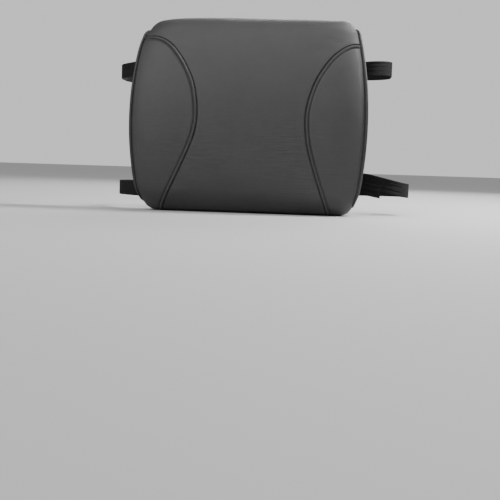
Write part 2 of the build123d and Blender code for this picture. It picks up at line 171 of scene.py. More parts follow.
def distance_to(points, line):
    """The distance from each of points (..., k) to the nearest sample of line (m, k)."""
    flat = points.reshape(-1, points.shape[-1])
    best = np.full(len(flat), 1e9)
    for start in range(0, len(line), 200):
        part = line[start:start + 200]
        d = np.linalg.norm(flat[:, None, :] - part[None], axis=2).min(1)
        best = np.minimum(best, d)
    return best.reshape(points.shape[:-1])


def spread(low, high, count, dense):
    """count values from low to high, closer together near the ends."""
    t = np.linspace(-1, 1, count)
    t = np.tanh(dense * t * 0.5) / np.tanh(dense * 0.5)
    return low + (high - low) * (t + 1) / 2


def unit(vectors):
    return vectors / np.linalg.norm(vectors, axis=-1, keepdims=True)


# ------------------------------------------------------------------ cushion surface
def side_profile():
    """Samples (length, y, z, normal angle) from the top back edge over the front to the
    bottom back edge. The angle is 90 degrees up, 180 to the front and 270 down."""
    h = HALF_HEIGHT
    cy, cz, radius = arc_through((-TOP_DEPTH, h), (-LUMBAR_DEPTH, LUMBAR_HEIGHT), (-BASE_DEPTH, -h))
    rolls = []
    for z, r in ((h - TOP_ROLL, TOP_ROLL), (-h + BASE_ROLL, BASE_ROLL)):
        y = cy - math.sqrt((radius - r) ** 2 - (z - cz) ** 2)
        rolls.append((y, z, r, math.atan2(z - cz, y - cy) % (2 * math.pi)))
    (y1, z1, r1, a1), (y2, z2, r2, a2) = rolls
    pieces = []
    flat = np.linspace(0, 1, 60)
    pieces.append((y1 * flat, h + 0 * flat, math.pi / 2 + 0 * flat))
    for y, z, r, start, end, n in ((y1, z1, r1, math.pi / 2, a1, 120), (cy, cz, radius, a1, a2, 600),
                                   (y2, z2, r2, a2, 1.5 * math.pi, 120)):
        a = np.linspace(start, end, n)
        pieces.append((y + r * np.cos(a), z + r * np.sin(a), a))
    pieces.append((y2 * (1 - flat), -h + 0 * flat, 1.5 * math.pi + 0 * flat))
    y, z, a = (np.concatenate(k) for k in zip(*pieces))
    along = lengths(np.stack([y, z], 1))
    keep = np.concatenate([[True], np.diff(along) > 1e-9])
    return along[keep], y[keep], z[keep], a[keep], a1, a2


ALONG, PROFILE_Y, PROFILE_Z, PROFILE_ANGLE, FRONT_START, FRONT_END = side_profile()
TOTAL = ALONG[-1]
TOP_FLAT_END = float(np.interp(math.pi / 2 + 1e-4, PROFILE_ANGLE, ALONG))
BASE_FLAT_START = float(np.interp(1.5 * math.pi - 1e-4, PROFILE_ANGLE, ALONG))
BOW_X, BOW_Z, BOW_RADIUS = arc_through(
    (HALF_TOP, HALF_HEIGHT), (HALF_WAIST - 0.0002, 0), (HALF_BASE, -HALF_HEIGHT))
CORNER_SAG = CORNER_RADIUS * (1 - math.cos(CORNER_TURN))


def along_at_height(z):
    """The profile length of a point on the front at height z."""
    front = (PROFILE_ANGLE > math.pi / 2 + 1e-3) & (PROFILE_ANGLE < 1.5 * math.pi - 1e-3)
    return np.interp(-np.asarray(z, float), -PROFILE_Z[front], ALONG[front])


def edge_shape(b):
    """At profile length b: where the side roll starts, where the panel ends, its sag there."""
    a = np.interp(b, ALONG, PROFILE_ANGLE)
    z = np.interp(b, ALONG, PROFILE_Z)
    waist = BOW_X + np.sqrt(BOW_RADIUS**2 - (z - BOW_Z) ** 2)
    top = smooth_step((FRONT_START - a) / (FRONT_START - math.pi / 2))
    base = smooth_step((a - FRONT_END) / (1.5 * math.pi - FRONT_END))
    k = np.maximum(top, base)
    corner = np.where(top > base, HALF_TOP, HALF_BASE) - CORNER_RADIUS
    start = (waist - SIDE_ROLL_WIDTH) * (1 - k) + corner * k
    end = waist * (1 - k) + (corner + CORNER_RADIUS * math.sin(CORNER_TURN)) * k
    sag = SIDE_DROP * (1 - k) + CORNER_SAG * k
    bend = 0.86 * (1 - k) + math.sin(CORNER_TURN) * k
    return start, end, sag, bend


def surface(x, b):
    """The cushion's wrapped surface before it is filled: points for x across and b along."""
    x, b = np.broadcast_arrays(np.asarray(x, float), np.asarray(b, float))
    a = np.interp(b, ALONG, PROFILE_ANGLE)
    y, z = np.interp(b, ALONG, PROFILE_Y), np.interp(b, ALONG, PROFILE_Z)
    start, end, sag, bend = edge_shape(b)
    t = np.clip((np.abs(x) - start) / (end - start), 0, 1.02)
    drop = sag * (1 - np.sqrt(1 - (bend * t) ** 2)) / (1 - np.sqrt(1 - bend**2))
    y, z = y - drop * np.cos(a), z - drop * np.sin(a)
    slump = np.clip((-x - 0.090) / 0.070, 0, 1.3) ** 1.8
    slump = slump * smooth_step((z - 0.100) / 0.055) * smooth_step(-y / 0.045)
    return np.stack([x, y, z - SLUMP * slump], -1)


def surface_normal(x, b):
    step = 2e-4
    b = np.clip(b, 2 * step, TOTAL - 2 * step)
    across = surface(x + step, b) - surface(x - step, b)
    down = surface(x, b + step) - surface(x, b - step)
    return unit(np.cross(down, across))


def seam_chart(side):
    """A wing seam on the chart (x, b): over the front, then straight back under the base."""
    curve = smooth_curve(WING_SEAMS[side], 320)
    front = np.stack([curve[:, 0], along_at_height(curve[:, 1])], 1)
    slope_x = front[-1, 0] + side * np.linspace(0, 0.010, 90)[1:]
    under = np.stack([slope_x, np.linspace(front[-1, 1], TOTAL, 90)[1:]], 1)
    line = resample(np.vstack([front, under]), 420)
    line[0, 0] = edge_shape(line[0, 1])[1] * side
    return line


SEAMS = {side: seam_chart(side) for side in (1, -1)}


def side_edge(b, side=1):
    """Points of the piped edge, where the wrap meets a side panel."""
    end = edge_shape(b)[1]
    return surface(end * side, b)


# ------------------------------------------------------------------ filling the cushion
def grid_faces(rows, columns):
    i, j = np.meshgrid(np.arange(rows - 1), np.arange(columns - 1), indexing="ij")
    a = (i * columns + j).ravel()
    return np.stack([a, a + 1, a + columns + 1, a + columns], 1)


def placed(name, data):
    """An object in the scene that holds data."""
    obj = bpy.data.objects.new(name, data)
    bpy.context.scene.collection.objects.link(obj)
    return obj


def mesh_object(name, points, faces):
    mesh = bpy.data.meshes.new(name)
    corners = [tuple(p) for p in np.asarray(points).reshape(-1, 3)]
    mesh.from_pydata(corners, [], [tuple(map(int, f)) for f in faces])
    mesh.validate()
    mesh.polygons.foreach_set("use_smooth", [True] * len(mesh.polygons))
    return placed(name, mesh)


def side_rows():
    """Profile lengths of a side panel's rows, from its top corner to its bottom one."""
    return np.concatenate([
        np.linspace(TOP_FLAT_END, along_at_height(HALF_HEIGHT - TOP_ROLL), 16, endpoint=False),
        np.linspace(along_at_height(HALF_HEIGHT - TOP_ROLL), along_at_height(BASE_ROLL - HALF_HEIGHT), 96),
        np.linspace(along_at_height(BASE_ROLL - HALF_HEIGHT), BASE_FLAT_START, 16)[1:],
    ])


def side_surface(b, share, side):
    """A side panel's point: share 0 is on the piped edge, share 1 on the back edge."""
    edge = side_edge(b, side)
    back = edge * np.array([1.0, 0.0, 1.0])
    height = np.abs(edge[..., 2]) / HALF_HEIGHT
    bulge = 0.004 * np.sin(math.pi * share) * (1 - height**4)
    point = edge + (back - edge) * share[..., None]
    point[..., 0] += side * bulge
    return point


def closed_shell():
    """A rough closed skin of the whole cushion, for the foam and for the filling."""
    b = np.linspace(0, TOTAL, 150)
    s = np.linspace(-1, 1, 110)
    end = edge_shape(b)[1]
    wrap = surface(s[None] * end[:, None], b[:, None] + 0 * s[None])
    groups = [(wrap, grid_faces(*wrap.shape[:2]))]
    rows, shares = side_rows(), np.linspace(0, 1, 30)
    for side in (1, -1):
        grid = side_surface(rows[:, None] + 0 * shares, shares[None] + 0 * rows[:, None], side)
        groups.append((grid, grid_faces(*grid.shape[:2])))
    back = back_grid(np.linspace(-1, 1, 110), np.linspace(0, 1, 90))
    groups.append((back, grid_faces(*back.shape[:2])))
    points, faces, first = [], [], 0
    for grid, quads in groups:
        points.append(grid.reshape(-1, 3))
        faces.append(quads + first)
        first += grid.shape[0] * grid.shape[1]
    return np.vstack(points), np.vstack(faces)


def outline_half_width(z):
    """Half the back face's width at a height, corners included."""
    edge_rows = side_rows()
    edge = side_edge(edge_rows)
    x = np.interp(-z, -edge[:, 2], edge[:, 0])
    c = HALF_HEIGHT - CORNER_RADIUS
    over = np.clip(np.abs(z) - c, 0, CORNER_RADIUS)
    corner = np.where(z > 0, HALF_TOP, HALF_BASE) - CORNER_RADIUS + np.sqrt(CORNER_RADIUS**2 - over**2)
    return np.where(np.abs(z) > edge[0, 2], corner, x)


def back_grid(s, v):
    z = -HALF_HEIGHT + 2 * HALF_HEIGHT * v
    x = s[None] * outline_half_width(z)[:, None]
    return np.stack([x, 0 * x, z[:, None] + 0 * x], -1)


def remeshed(name, size):
    """The closed skin as an even quad mesh."""
    rough = mesh_object(name, *closed_shell())
    remesh = rough.modifiers.new("even", "REMESH")
    remesh.mode = "VOXEL"
    remesh.voxel_size = size
    smooth = rough.modifiers.new("smooth", "SMOOTH")
    smooth.iterations = 2
    made = bpy.data.meshes.new_from_object(rough.evaluated_get(bpy.context.evaluated_depsgraph_get()))
    bpy.data.objects.remove(rough)
    return placed(name, made)


def coordinates(mesh):
    co = np.zeros(len(mesh.vertices) * 3)
    mesh.vertices.foreach_get("co", co)
    return co.reshape(-1, 3)


def held_curves():
    """Every sewn line on the cushion, as points in space."""
    b = np.linspace(0, TOTAL, 500)
    lines = [side_edge(b, side) for side in (1, -1)]
    for side in (1, -1):
        seam = SEAMS[side]
        lines.append(surface(seam[:, 0], seam[:, 1]))
    z = np.linspace(-HALF_HEIGHT, HALF_HEIGHT, 300)
    for side in (1, -1):
        lines.append(np.stack([side * outline_half_width(z), 0 * z, z], 1))
    x = np.linspace(-HALF_TOP, HALF_TOP, 160)
    for height in (1, -1):
        lines.append(np.stack([x, 0 * x, height * HALF_HEIGHT + 0 * x], 1))
    return np.vstack(lines)


def fill_with_pressure(skin):
    """Blows the skin up against its sewn lines, and limits how far each point moves."""
    rest = coordinates(skin.data)
    held = distance_to(rest, held_curves()) < 0.0055
    held |= rest[:, 1] > -0.004
    held |= rest[:, 2] < -HALF_HEIGHT + 0.004
    group = skin.vertex_groups.new(name="sewn")
    group.add([int(i) for i in np.nonzero(held)[0]], 1.0, "REPLACE")
    cloth = skin.modifiers.new("filling", "CLOTH")
    settings = cloth.settings
    settings.vertex_group_mass = "sewn"
    settings.quality = 6
    settings.use_pressure = True
    settings.uniform_pressure_force = 4
    settings.tension_stiffness = settings.compression_stiffness = 30
    settings.bending_stiffness = 3
    settings.effector_weights.gravity = 0
    cloth.point_cache.frame_end = FILLING_FRAMES
    for frame_number in range(1, FILLING_FRAMES + 1):
        bpy.context.scene.frame_set(frame_number)
    blown = skin.evaluated_get(bpy.context.evaluated_depsgraph_get())
    moved = coordinates(blown.data) - rest
    bpy.context.scene.frame_set(1)
    skin.modifiers.remove(cloth)
    skin.vertex_groups.clear()
    size = np.linalg.norm(moved, axis=1, keepdims=True)
    moved *= np.minimum(1, PUFF_LIMIT / np.maximum(size, 1e-9))
    skin.data.vertices.foreach_set("co", (rest + moved).ravel())
    skin.data.update()


def smoothed(field, times):
    for _ in range(times):
        padded = np.pad(field, 1, mode="edge")
        field = (4 * field + padded[:-2, 1:-1] + padded[2:, 1:-1] + padded[1:-1, :-2]
                 + padded[1:-1, 2:]) / 8
    return field


class Puff:
    """How far the filled skin stands off the unfilled surface, read between grid points."""

    def __init__(self, tree, points, normals, rows, columns):
        self.rows, self.columns = rows, columns
        field = np.zeros(points.shape[:2])
        for i in range(points.shape[0]):
            for j in range(points.shape[1]):
                p, n = Vector(points[i, j]), Vector(normals[i, j])
                hit = tree.ray_cast(p + n * 0.015, -n, 0.03)[0]
                field[i, j] = (hit - p).dot(n) if hit is not None else 0.0
        self.field = smoothed(np.clip(field, -0.002, PUFF_LIMIT), 3) * PUFF_SHARE

    def at(self, row, column):
        i = np.interp(row, self.rows, np.arange(len(self.rows)))
        j = np.interp(column, self.columns, np.arange(len(self.columns)))
        i0 = np.clip(i.astype(int), 0, len(self.rows) - 2)
        j0 = np.clip(j.astype(int), 0, len(self.columns) - 2)
        u, v = smooth_step(i - i0), smooth_step(j - j0)
        f = self.field
        return ((f[i0, j0] * (1 - v) + f[i0, j0 + 1] * v) * (1 - u)
                + (f[i0 + 1, j0] * (1 - v) + f[i0 + 1, j0 + 1] * v) * u)


def make_foam():
    """Fills the cushion and returns how far it stands out, with the foam it is filled with."""
    skin = remeshed("foam_core_block", 0.0055)
    fill_with_pressure(skin)
    co = coordinates(skin.data)
    tree = BVHTree.FromPolygons([Vector(c) for c in co], [list(p.vertices) for p in skin.data.polygons])
    b = np.linspace(0.002, TOTAL - 0.002, 110)
    s = np.linspace(-1, 1, 71)
    x = s[None] * edge_shape(b)[1][:, None]
    bb = b[:, None] + 0 * x
    wrap = Puff(tree, surface(x, bb), surface_normal(x, bb), b, s)
    sides = {}
    rows, shares = np.linspace(side_rows()[0], side_rows()[-1], 60), np.linspace(0, 1, 16)
    for side in (1, -1):
        grid = side_surface(rows[:, None] + 0 * shares, shares[None] + 0 * rows[:, None], side)
        out = np.zeros_like(grid)
        out[..., 0] = side
        sides[side] = Puff(tree, grid, out, rows, shares)
    return skin, wrap, sides


def inset_copy(skin, name, inset):
    normals = np.zeros(len(skin.data.vertices) * 3)
    skin.data.vertices.foreach_get("normal", normals)
    moved = coordinates(skin.data) - normals.reshape(-1, 3) * inset
    mesh = skin.data.copy()
    mesh.vertices.foreach_set("co", moved.ravel())
    mesh.update()
    mesh.polygons.foreach_set("use_smooth", [True] * len(mesh.polygons))
    return placed(name, mesh)


# ------------------------------------------------------------------ sewn panels
def rolled_edge(distance, depth=SEAM_DEPTH, width=SEAM_ROLL):
    """The height of a panel near its sewn edge, which rolls down like a folded sheet."""
    t = np.clip(1 - distance / width, 0, 1)
    return -depth * (1 - np.sqrt(np.clip(1 - t**2.2, 0, 1)))


def cord_edge(distance, b):
    """The roll beside the piping, shallower where the piping crosses the top and the base."""
    a = np.interp(b, ALONG, PROFILE_ANGLE)
    front = smooth_step((a - math.radians(105)) / 0.7) * smooth_step((math.radians(262) - a) / 0.3)
    return rolled_edge(distance, CORD_DEPTH, CORD_ROLL) * (0.35 + 0.65 * front)


def seam_shade(to_seam, to_cord, one_side=0.0):
    """How deep a point lies in a sewn groove or beside the piping: the mask for the shade painted darker into
    these grooves.
    """
    ditch = 0.55 * np.exp(-(to_seam / 0.0016) ** 2)
    stitched = 0.45 * np.exp(-((to_seam - TOPSTITCH_GAP) / 0.0009) ** 2) * one_side
    return np.maximum(np.maximum(ditch, stitched), np.exp(-(to_cord / 0.0045) ** 2))


def topstitch_ridge(distance):
    """The raised fold between a seam and its row of topstitches."""
    top = TOPSTITCH_GAP * 0.5
    ridge = RIDGE_HEIGHT * np.exp(-((distance - top) / (top * 0.62)) ** 2)
    return ridge - TOPSTITCH_SINK * np.exp(-((distance - TOPSTITCH_GAP) / 0.0011) ** 2)


def wander(points, size, seed):
    """Slow, even unevenness, as soft goods have. Runs from about -1 to 1."""
    rng = np.random.default_rng(seed)
    total = np.zeros(points.shape[:-1])
    for _ in range(7):
        k = rng.normal(size=3)
        k *= 2 * math.pi / size * rng.uniform(0.6, 1.5) / np.linalg.norm(k)
        total += np.sin(points @ k + rng.uniform(0, 2 * math.pi))
    return total / 3.5


def make_panel(name, points, normals, heights, outward, attributes=None):
    """A sewn panel of real thickness from a grid of points, heights and outward normals."""
    shape = points + normals * heights[..., None]
    faces = grid_faces(*points.shape[:2])
    middle = (points.shape[0] // 2, points.shape[1] // 2)
    du = shape[middle[0] + 1, middle[1]] - shape[middle]
    dv = shape[middle[0], middle[1] + 1] - shape[middle]
    if np.dot(np.cross(dv, du), outward) < 0:
        faces = faces[:, ::-1]
    obj = mesh_object(name, shape, faces)
    for key, values in (attributes or {}).items():
        layer = obj.data.attributes.new(key, "FLOAT", "POINT")
        layer.data.foreach_set("value", np.asarray(values, np.float32).ravel())
    clean = bmesh.new()
    clean.from_mesh(obj.data)
    bmesh.ops.remove_doubles(clean, verts=clean.verts, dist=2e-6)
    clean.to_mesh(obj.data)
    clean.free()
    thick = obj.modifiers.new("leather thickness", "SOLIDIFY")
    thick.thickness = LEATHER_THICKNESS
    thick.offset = -1
    return obj


def wrinkle_mask(points, to_seam):
    """Where the leatherette is gathered: near the wing seams, low down."""
    low = smooth_step((0.030 - points[..., 2]) / 0.12)
    near = np.exp(-(to_seam / 0.070) ** 2)
    right = 0.55 + 0.45 * smooth_step((points[..., 0] + 0.05) / 0.1)
    return np.clip(0.12 + low * near * right, 0, 1)


def gathers(points, mask):
    """Shallow folds that run across from the seams."""
    z = points[..., 2] + 0.004 * np.sin(points[..., 0] * 60)
    fold = np.sin(z * 2 * math.pi / 0.0093) + 0.8 * np.sin(z * 2 * math.pi / 0.0064 + 1.3)
    return 0.00011 * fold * np.clip(mask - 0.25, 0, 1) * (0.6 + 0.4 * wander(points, 0.05, 5))


def make_centre_panel(wrap):
    ends = {}
    for side in (1, -1):
        seam = SEAMS[side]
        top = seam[0, 1]
        above = np.concatenate([[0.0, 0.0006, 0.0014, 0.0025], np.linspace(0.004, top - 0.0065, 62),
                                top - np.array([0.0045, 0.003, 0.0018, 0.001, 0.0004])])
        ends[side] = np.vstack([np.stack([edge_shape(above)[1] * side, above], 1), seam[::2]])
    near = np.array([0, 0.0004, 0.0009, 0.0015, 0.0022, 0.0030, 0.0042, 0.006, 0.009])
    half = 0.09
    columns = np.concatenate([near, np.linspace(0.012, half, 34)]) / half
    s = np.concatenate([-(1 - columns), (1 - columns)[::-1][1:]])[None, :, None]
    chart = ends[-1][:, None] * (1 - s) / 2 + ends[1][:, None] * (1 + s) / 2
    x, b = chart[..., 0], np.clip(chart[..., 1], 0, TOTAL)
    points, normals = surface(x, b), surface_normal(x, b)
    seams = np.vstack([surface(SEAMS[k][:, 0], SEAMS[k][:, 1]) for k in (1, -1)])
    corded = np.vstack([side_edge(np.linspace(0, SEAMS[k][0, 1], 260), k) for k in (1, -1)])
    flat = []
    for edge in (0.0, TOTAL):
        width = edge_shape(edge)[1]
        flat.append(surface(np.linspace(-width, width, 500), np.full(500, edge)))
    to_seam, to_cord = distance_to(points, seams), distance_to(points, corded)
    far = np.minimum(to_seam, distance_to(points, np.vstack(flat)))
    mask = wrinkle_mask(points, to_seam)
    heights = wrap.at(b, x / edge_shape(b)[1]) * smooth_step(np.minimum(far, to_cord) / 0.010)
    heights += np.minimum(rolled_edge(far), cord_edge(to_cord, b))
    inside = smooth_step(np.minimum(far, to_cord) / 0.03)
    heights += gathers(points, mask) + 0.00025 * wander(points, 0.09, 2) * inside
    return make_panel("front_centre_leather", points, normals, heights, (0, -1, 0),
                      {"gather": mask, "painted_groove_shade": seam_shade(far, to_cord)})


def make_wing(wrap, side):
    seam = SEAMS[side] * np.array([side, 1.0])
    seam_top = seam[0, 1]
    rows = seam[1::2]
    ends = np.linspace(seam_top, TOTAL, 420)
    reach = np.linalg.norm(seam - seam[0], axis=1)[1::2]
    first = seam_top + np.minimum(reach, 0.06) * 0.55
    share = np.linspace(0, 1, len(rows))
    b_edge = np.maximum(first * (1 - share) + TOTAL * share, seam_top)
    b_edge = np.minimum(np.maximum.accumulate(b_edge), TOTAL)
    b_edge[-1] = TOTAL
    edge = np.stack([edge_shape(b_edge)[1], b_edge], 1)
    tangent = unit(np.gradient(rows, axis=0))
    inward = np.stack([tangent[:, 1], -tangent[:, 0]], 1)
    across = edge - rows
    size = np.linalg.norm(across, axis=1)
    direct = across / size[:, None]
    steps = np.array([0, 0.0004, 0.0009, 0.0015, 0.0022, 0.0029, 0.0036, 0.0043, 0.0049, 0.0054,
                      0.0058, 0.0062, 0.0067, 0.0074, 0.0085, 0.0105, 0.0135])
    count = len(steps)
    tail = 30
    grid = np.zeros((len(rows), count + tail, 2))
    for i in range(len(rows)):
        limit = min(1.0, 0.62 * size[i] / steps[-1])
        d = steps * limit
        turn = smooth_step(d / 0.03)[:, None]
        grid[i, :count] = rows[i] + d[:, None] * ((1 - turn) * inward[i] + turn * direct[i])
        last = grid[i, count - 1]
        rest = np.linspace(0, 1, tail + 1)[1:]
        rest = 1 - (1 - rest) ** 1.35
        grid[i, count:] = last + (edge[i] - last) * rest[:, None]
    grid[-1, :, 1] = TOTAL
    x, b = grid[..., 0], np.clip(grid[..., 1], 0, TOTAL)
    x = np.minimum(x, edge_shape(b)[1]) * side
    points, normals = surface(x, b), surface_normal(x, b)
    seam_line = surface(SEAMS[side][:, 0], SEAMS[side][:, 1])
    edge_line = side_edge(ends, side)
    last_edge = surface(np.linspace(seam[-1, 0], edge_shape(TOTAL)[1], 200) * side, np.full(200, TOTAL))
    to_seam = distance_to(points, seam_line)
    to_edge = distance_to(points, np.vstack([edge_line, last_edge]))
    far = np.minimum(to_seam, to_edge)
    mask = wrinkle_mask(points, to_seam)
    heights = wrap.at(b, x / edge_shape(b)[1]) * smooth_step(far / 0.010)
    heights += np.minimum(rolled_edge(to_seam), cord_edge(to_edge, b))
    under = smooth_step((b - BASE_FLAT_START + 0.012) / 0.012)
    heights += topstitch_ridge(to_seam) * smooth_step(to_edge / 0.004) * (1 - 0.75 * under)
    heights += gathers(points, mask) * 0.6 + 0.0003 * wander(points, 0.08, 3 + side) * smooth_step(far / 0.03)
    return make_panel(f"{dict(SIDES)[side]}_wing_leather", points, normals, heights, (0, -1, 0),
                      {"gather": mask, "painted_groove_shade": seam_shade(to_seam, to_edge, 1.0)})


def make_side_panel(puff, side):
    rows = side_rows()
    near = np.array([0, 0.006, 0.013, 0.022, 0.034, 0.05, 0.075])
    shares = np.concatenate([near, np.linspace(0.11, 0.89, 22), (1 - near)[::-1]])
    b = rows[:, None] + 0 * shares
    share = shares[None] + 0 * b
    points = side_surface(b, share, side)
    normals = np.cross(np.gradient(points, axis=0), np.gradient(points, axis=1))
    normals *= np.sign(normals[..., :1]) * side
    normals /= np.linalg.norm(normals, axis=-1, keepdims=True) + 1e-12
    border = [points[0], points[-1], points[:, 0], points[:, -1]]
    far = distance_to(points, np.vstack([resample(line, 500) for line in border]))
    to_cord = distance_to(points, points[:, 0])
    heights = puff.at(b, share) * smooth_step(far / 0.010)
    inner = np.minimum(far, distance_to(points, points[:, -1]))
    heights += np.minimum(rolled_edge(inner) * (share > 0.3), cord_edge(to_cord, b))
    heights += 0.0003 * wander(points, 0.06, 11 + side) * smooth_step(far / 0.02)
    return make_panel(f"{dict(SIDES)[side]}_side_leather", points, normals, heights, (side, 0, 0),
                      {"gather": 0.2 + 0 * far, "painted_groove_shade": seam_shade(far, to_cord)})


def zip_line():
    """The zip's middle height, and the slot's two ends."""
    low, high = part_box("upper_zip_tape"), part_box("lower_zip_tape")
    middle = (low[0].z + high[1].z) / 2
    return middle, low[0].x + 0.002, low[1].x - 0.002


def make_back_panel(upper):
    middle, slot_start, slot_end = zip_line()
    opening = ZIP_HALF_OPENING
    count = 46 if upper else 30
    v = spread(0, 1, count, 4.5)
    s = spread(-1, 1, 90, 3.2)
    far_z = HALF_HEIGHT if upper else -HALF_HEIGHT
    z_flat = middle + (far_z - middle) * v
    x = s[None] * outline_half_width(z_flat)[:, None]
    in_slot = smooth_step((x - slot_start) / 0.004) * smooth_step((slot_end - x) / 0.004)
    first = middle + (opening if upper else -opening) * in_slot
    z = first + (far_z - first) * v[:, None]
    x = s[None] * outline_half_width(z)
    points = np.stack([x, np.full_like(x, 0.0), z], -1)
    normals = np.zeros_like(points)
    normals[..., 1] = 1
    border = np.vstack([resample(line, 700) for line in (points[0], points[-1], points[:, 0], points[:, -1])])
    far = distance_to(points, border)
    to_zip = distance_to(points, resample(points[0], 700))
    heights = rolled_edge(far, 0.0016, 0.0026) - 0.00045 * np.exp(-((to_zip - 0.0055) / 0.0009) ** 2)
    heights -= 0.00025 * (1 + wander(points, 0.07, 21)) * smooth_step(far / 0.02) + 0.0002
    name = "upper_back_cloth" if upper else "lower_back_cloth"
    return make_panel(name, points, normals, heights, (0, 1, 0), {"painted_groove_shade": np.exp(-(far / 0.004) ** 2)})


# ------------------------------------------------------------------ node trees
def new_tree(name, kind, inputs, outputs):
    """A node group with named inputs (name, type, default) and outputs (name, type)."""
    tree = bpy.data.node_groups.new(name, kind)
    for label, socket, default in inputs:
        made = tree.interface.new_socket(label, in_out="INPUT", socket_type=socket)
        if default is not None:
            made.default_value = default
    for label, socket in outputs:
        tree.interface.new_socket(label, in_out="OUTPUT", socket_type=socket)
    return tree, tree.nodes.new("NodeGroupInput"), tree.nodes.new("NodeGroupOutput")


class Wiring:
    """Adds nodes to a tree and joins their sockets."""

    def __init__(self, tree):
        self.tree = tree

    def node(self, kind, inputs=None, **settings):
        made = self.tree.nodes.new(kind)
        for key, value in settings.items():
            setattr(made, key, value)
        for key, value in (inputs or {}).items():
            self.feed(value, made.inputs[key])
        return made

    def feed(self, value, socket):
        if isinstance(value, bpy.types.NodeSocket):
            self.tree.links.new(value, socket)
        else:
            socket.default_value = value

    def math(self, operation, a, b=0.0, c=None, clamp=False):
        inputs = {0: a, 1: b}
        if c is not None:
            inputs[2] = c
        return self.node("ShaderNodeMath", inputs, operation=operation, use_clamp=clamp).outputs[0]

    def mix(self, factor, a, b):
        made = self.tree.nodes.new("ShaderNodeMix")
        made.data_type = "RGBA"
        for value, index in ((factor, 0), (a, 6), (b, 7)):
            self.feed(value, made.inputs[index])
        return made.outputs[2]

    def ramp(self, value, low, high, from_low=0.0, from_high=1.0):
        inputs = {0: value, 1: from_low, 2: from_high, 3: low, 4: high}
        return self.node("ShaderNodeMapRange", inputs).outputs[0]

    def noise(self, place, scale, detail, distortion=0.0):
        inputs = {"Vector": place, "Scale": scale, "Detail": detail, "Distortion": distortion}
        return self.node("ShaderNodeTexNoise", inputs).outputs["Fac"]

    def group(self, tree, inputs):
        """Places a node group with its own values."""
        made = self.node("ShaderNodeGroup")
        made.node_tree = tree
        for label, value in inputs.items():
            self.feed(value, made.inputs[label])
        return made

    def handled(self, rub, dust):
        return self.group(HANDLING, {"Edge Rub": rub, "Dust": dust})

    def bump(self, shader, height, strength, distance):
        made = self.node("ShaderNodeBump", {"Strength": strength, "Distance": distance, "Height": height})
        self.feed(made.outputs[0], shader.inputs["Normal"])


# ------------------------------------------------------------------ shader groups
def leather_grain_group():
    """Pebbled leatherette: the height of its grain, its pores, and slow tone changes."""
    tree, start, end = new_tree(
        "leatherette_grain", "ShaderNodeTree",
        [("Grain Scale", "NodeSocketFloat", 900.0), ("Gather", "NodeSocketFloat", 0.0),
         ("Gather Depth", "NodeSocketFloat", 1.0)],
        [("Height", "NodeSocketFloat"), ("Pores", "NodeSocketFloat"), ("Tone", "NodeSocketFloat")])
    w = Wiring(tree)
    place = w.node("ShaderNodeTexCoord").outputs["Object"]
    cells = w.node("ShaderNodeTexVoronoi", {"Vector": place, "Scale": start.outputs["Grain Scale"]},
                   feature="DISTANCE_TO_EDGE").outputs["Distance"]
    pebble = w.ramp(cells, 0.0, 1.0, 0.0, 0.28)
    fine = w.noise(place, 2600.0, 2.0)
    slow = w.noise(place, 14.0, 3.0)
    squeezed = w.node("ShaderNodeMapping", {"Vector": place, "Scale": (30.0, 30.0, 290.0)}).outputs[0]
    crease = w.noise(squeezed, 1.0, 4.0, 0.4)
    crease = w.math("MULTIPLY", w.math("SUBTRACT", crease, 0.5), start.outputs["Gather"])
    crease = w.math("MULTIPLY", crease, start.outputs["Gather Depth"])
    height = w.math("ADD", w.math("MULTIPLY", pebble, 0.30), w.math("MULTIPLY", fine, 0.16))
    w.feed(w.math("ADD", height, w.math("MULTIPLY", crease, 3.4)), end.inputs["Height"])
    w.feed(w.ramp(cells, 1.0, 0.0, 0.0, 0.10), end.inputs["Pores"])
    w.feed(slow, end.inputs["Tone"])
    return tree


def woven_group():
    """A plain weave: over and under threads, from a flat place in metres."""
    tree, start, end = new_tree(
        "plain_weave", "ShaderNodeTree",
        [("Place", "NodeSocketVector", None), ("Thread Width", "NodeSocketFloat", 0.0006)],
        [("Height", "NodeSocketFloat"), ("Gaps", "NodeSocketFloat")])
    w = Wiring(tree)
    parts = w.node("ShaderNodeSeparateXYZ", {0: start.outputs["Place"]})
    turns = w.math("DIVIDE", math.pi, start.outputs["Thread Width"])
    u = w.math("SINE", w.math("MULTIPLY", parts.outputs[0], turns))
    v = w.math("SINE", w.math("MULTIPLY", parts.outputs[1], turns))
    over = w.math("MULTIPLY", u, v)
    height = w.math("POWER", w.math("ABSOLUTE", over), 0.6)
    w.feed(height, end.inputs["Height"])
    w.feed(w.ramp(height, 1.0, 0.0, 0.0, 0.5), end.inputs["Gaps"])
    return tree


def handling_group():
    """Dust and rubbing: pale on rubbed edges, and a thin uneven film elsewhere."""
    tree, start, end = new_tree(
        "handling_and_dust", "ShaderNodeTree",
        [("Edge Rub", "NodeSocketFloat", 0.3), ("Dust", "NodeSocketFloat", 0.2)],
        [("Rub", "NodeSocketFloat"), ("Film", "NodeSocketFloat")])
    w = Wiring(tree)
    place = w.node("ShaderNodeTexCoord").outputs["Object"]
    sharp = w.node("ShaderNodeNewGeometry").outputs["Pointiness"]
    edge = w.ramp(sharp, 0.0, 1.0, 0.51, 0.60)
    patch = w.noise(place, 60.0, 4.0)
    rubbed = w.math("MULTIPLY", edge, patch)
    w.feed(w.math("MULTIPLY", rubbed, start.outputs["Edge Rub"], clamp=True), end.inputs["Rub"])
    specks = w.noise(place, 420.0, 3.0)
    film = w.math("MULTIPLY", w.ramp(patch, 0.0, 1.0, 0.35, 0.8), specks)
    w.feed(w.math("MULTIPLY", film, start.outputs["Dust"], clamp=True), end.inputs["Film"])
    return tree


LEATHER_GRAIN = leather_grain_group()
WEAVE = woven_group()
HANDLING = handling_group()


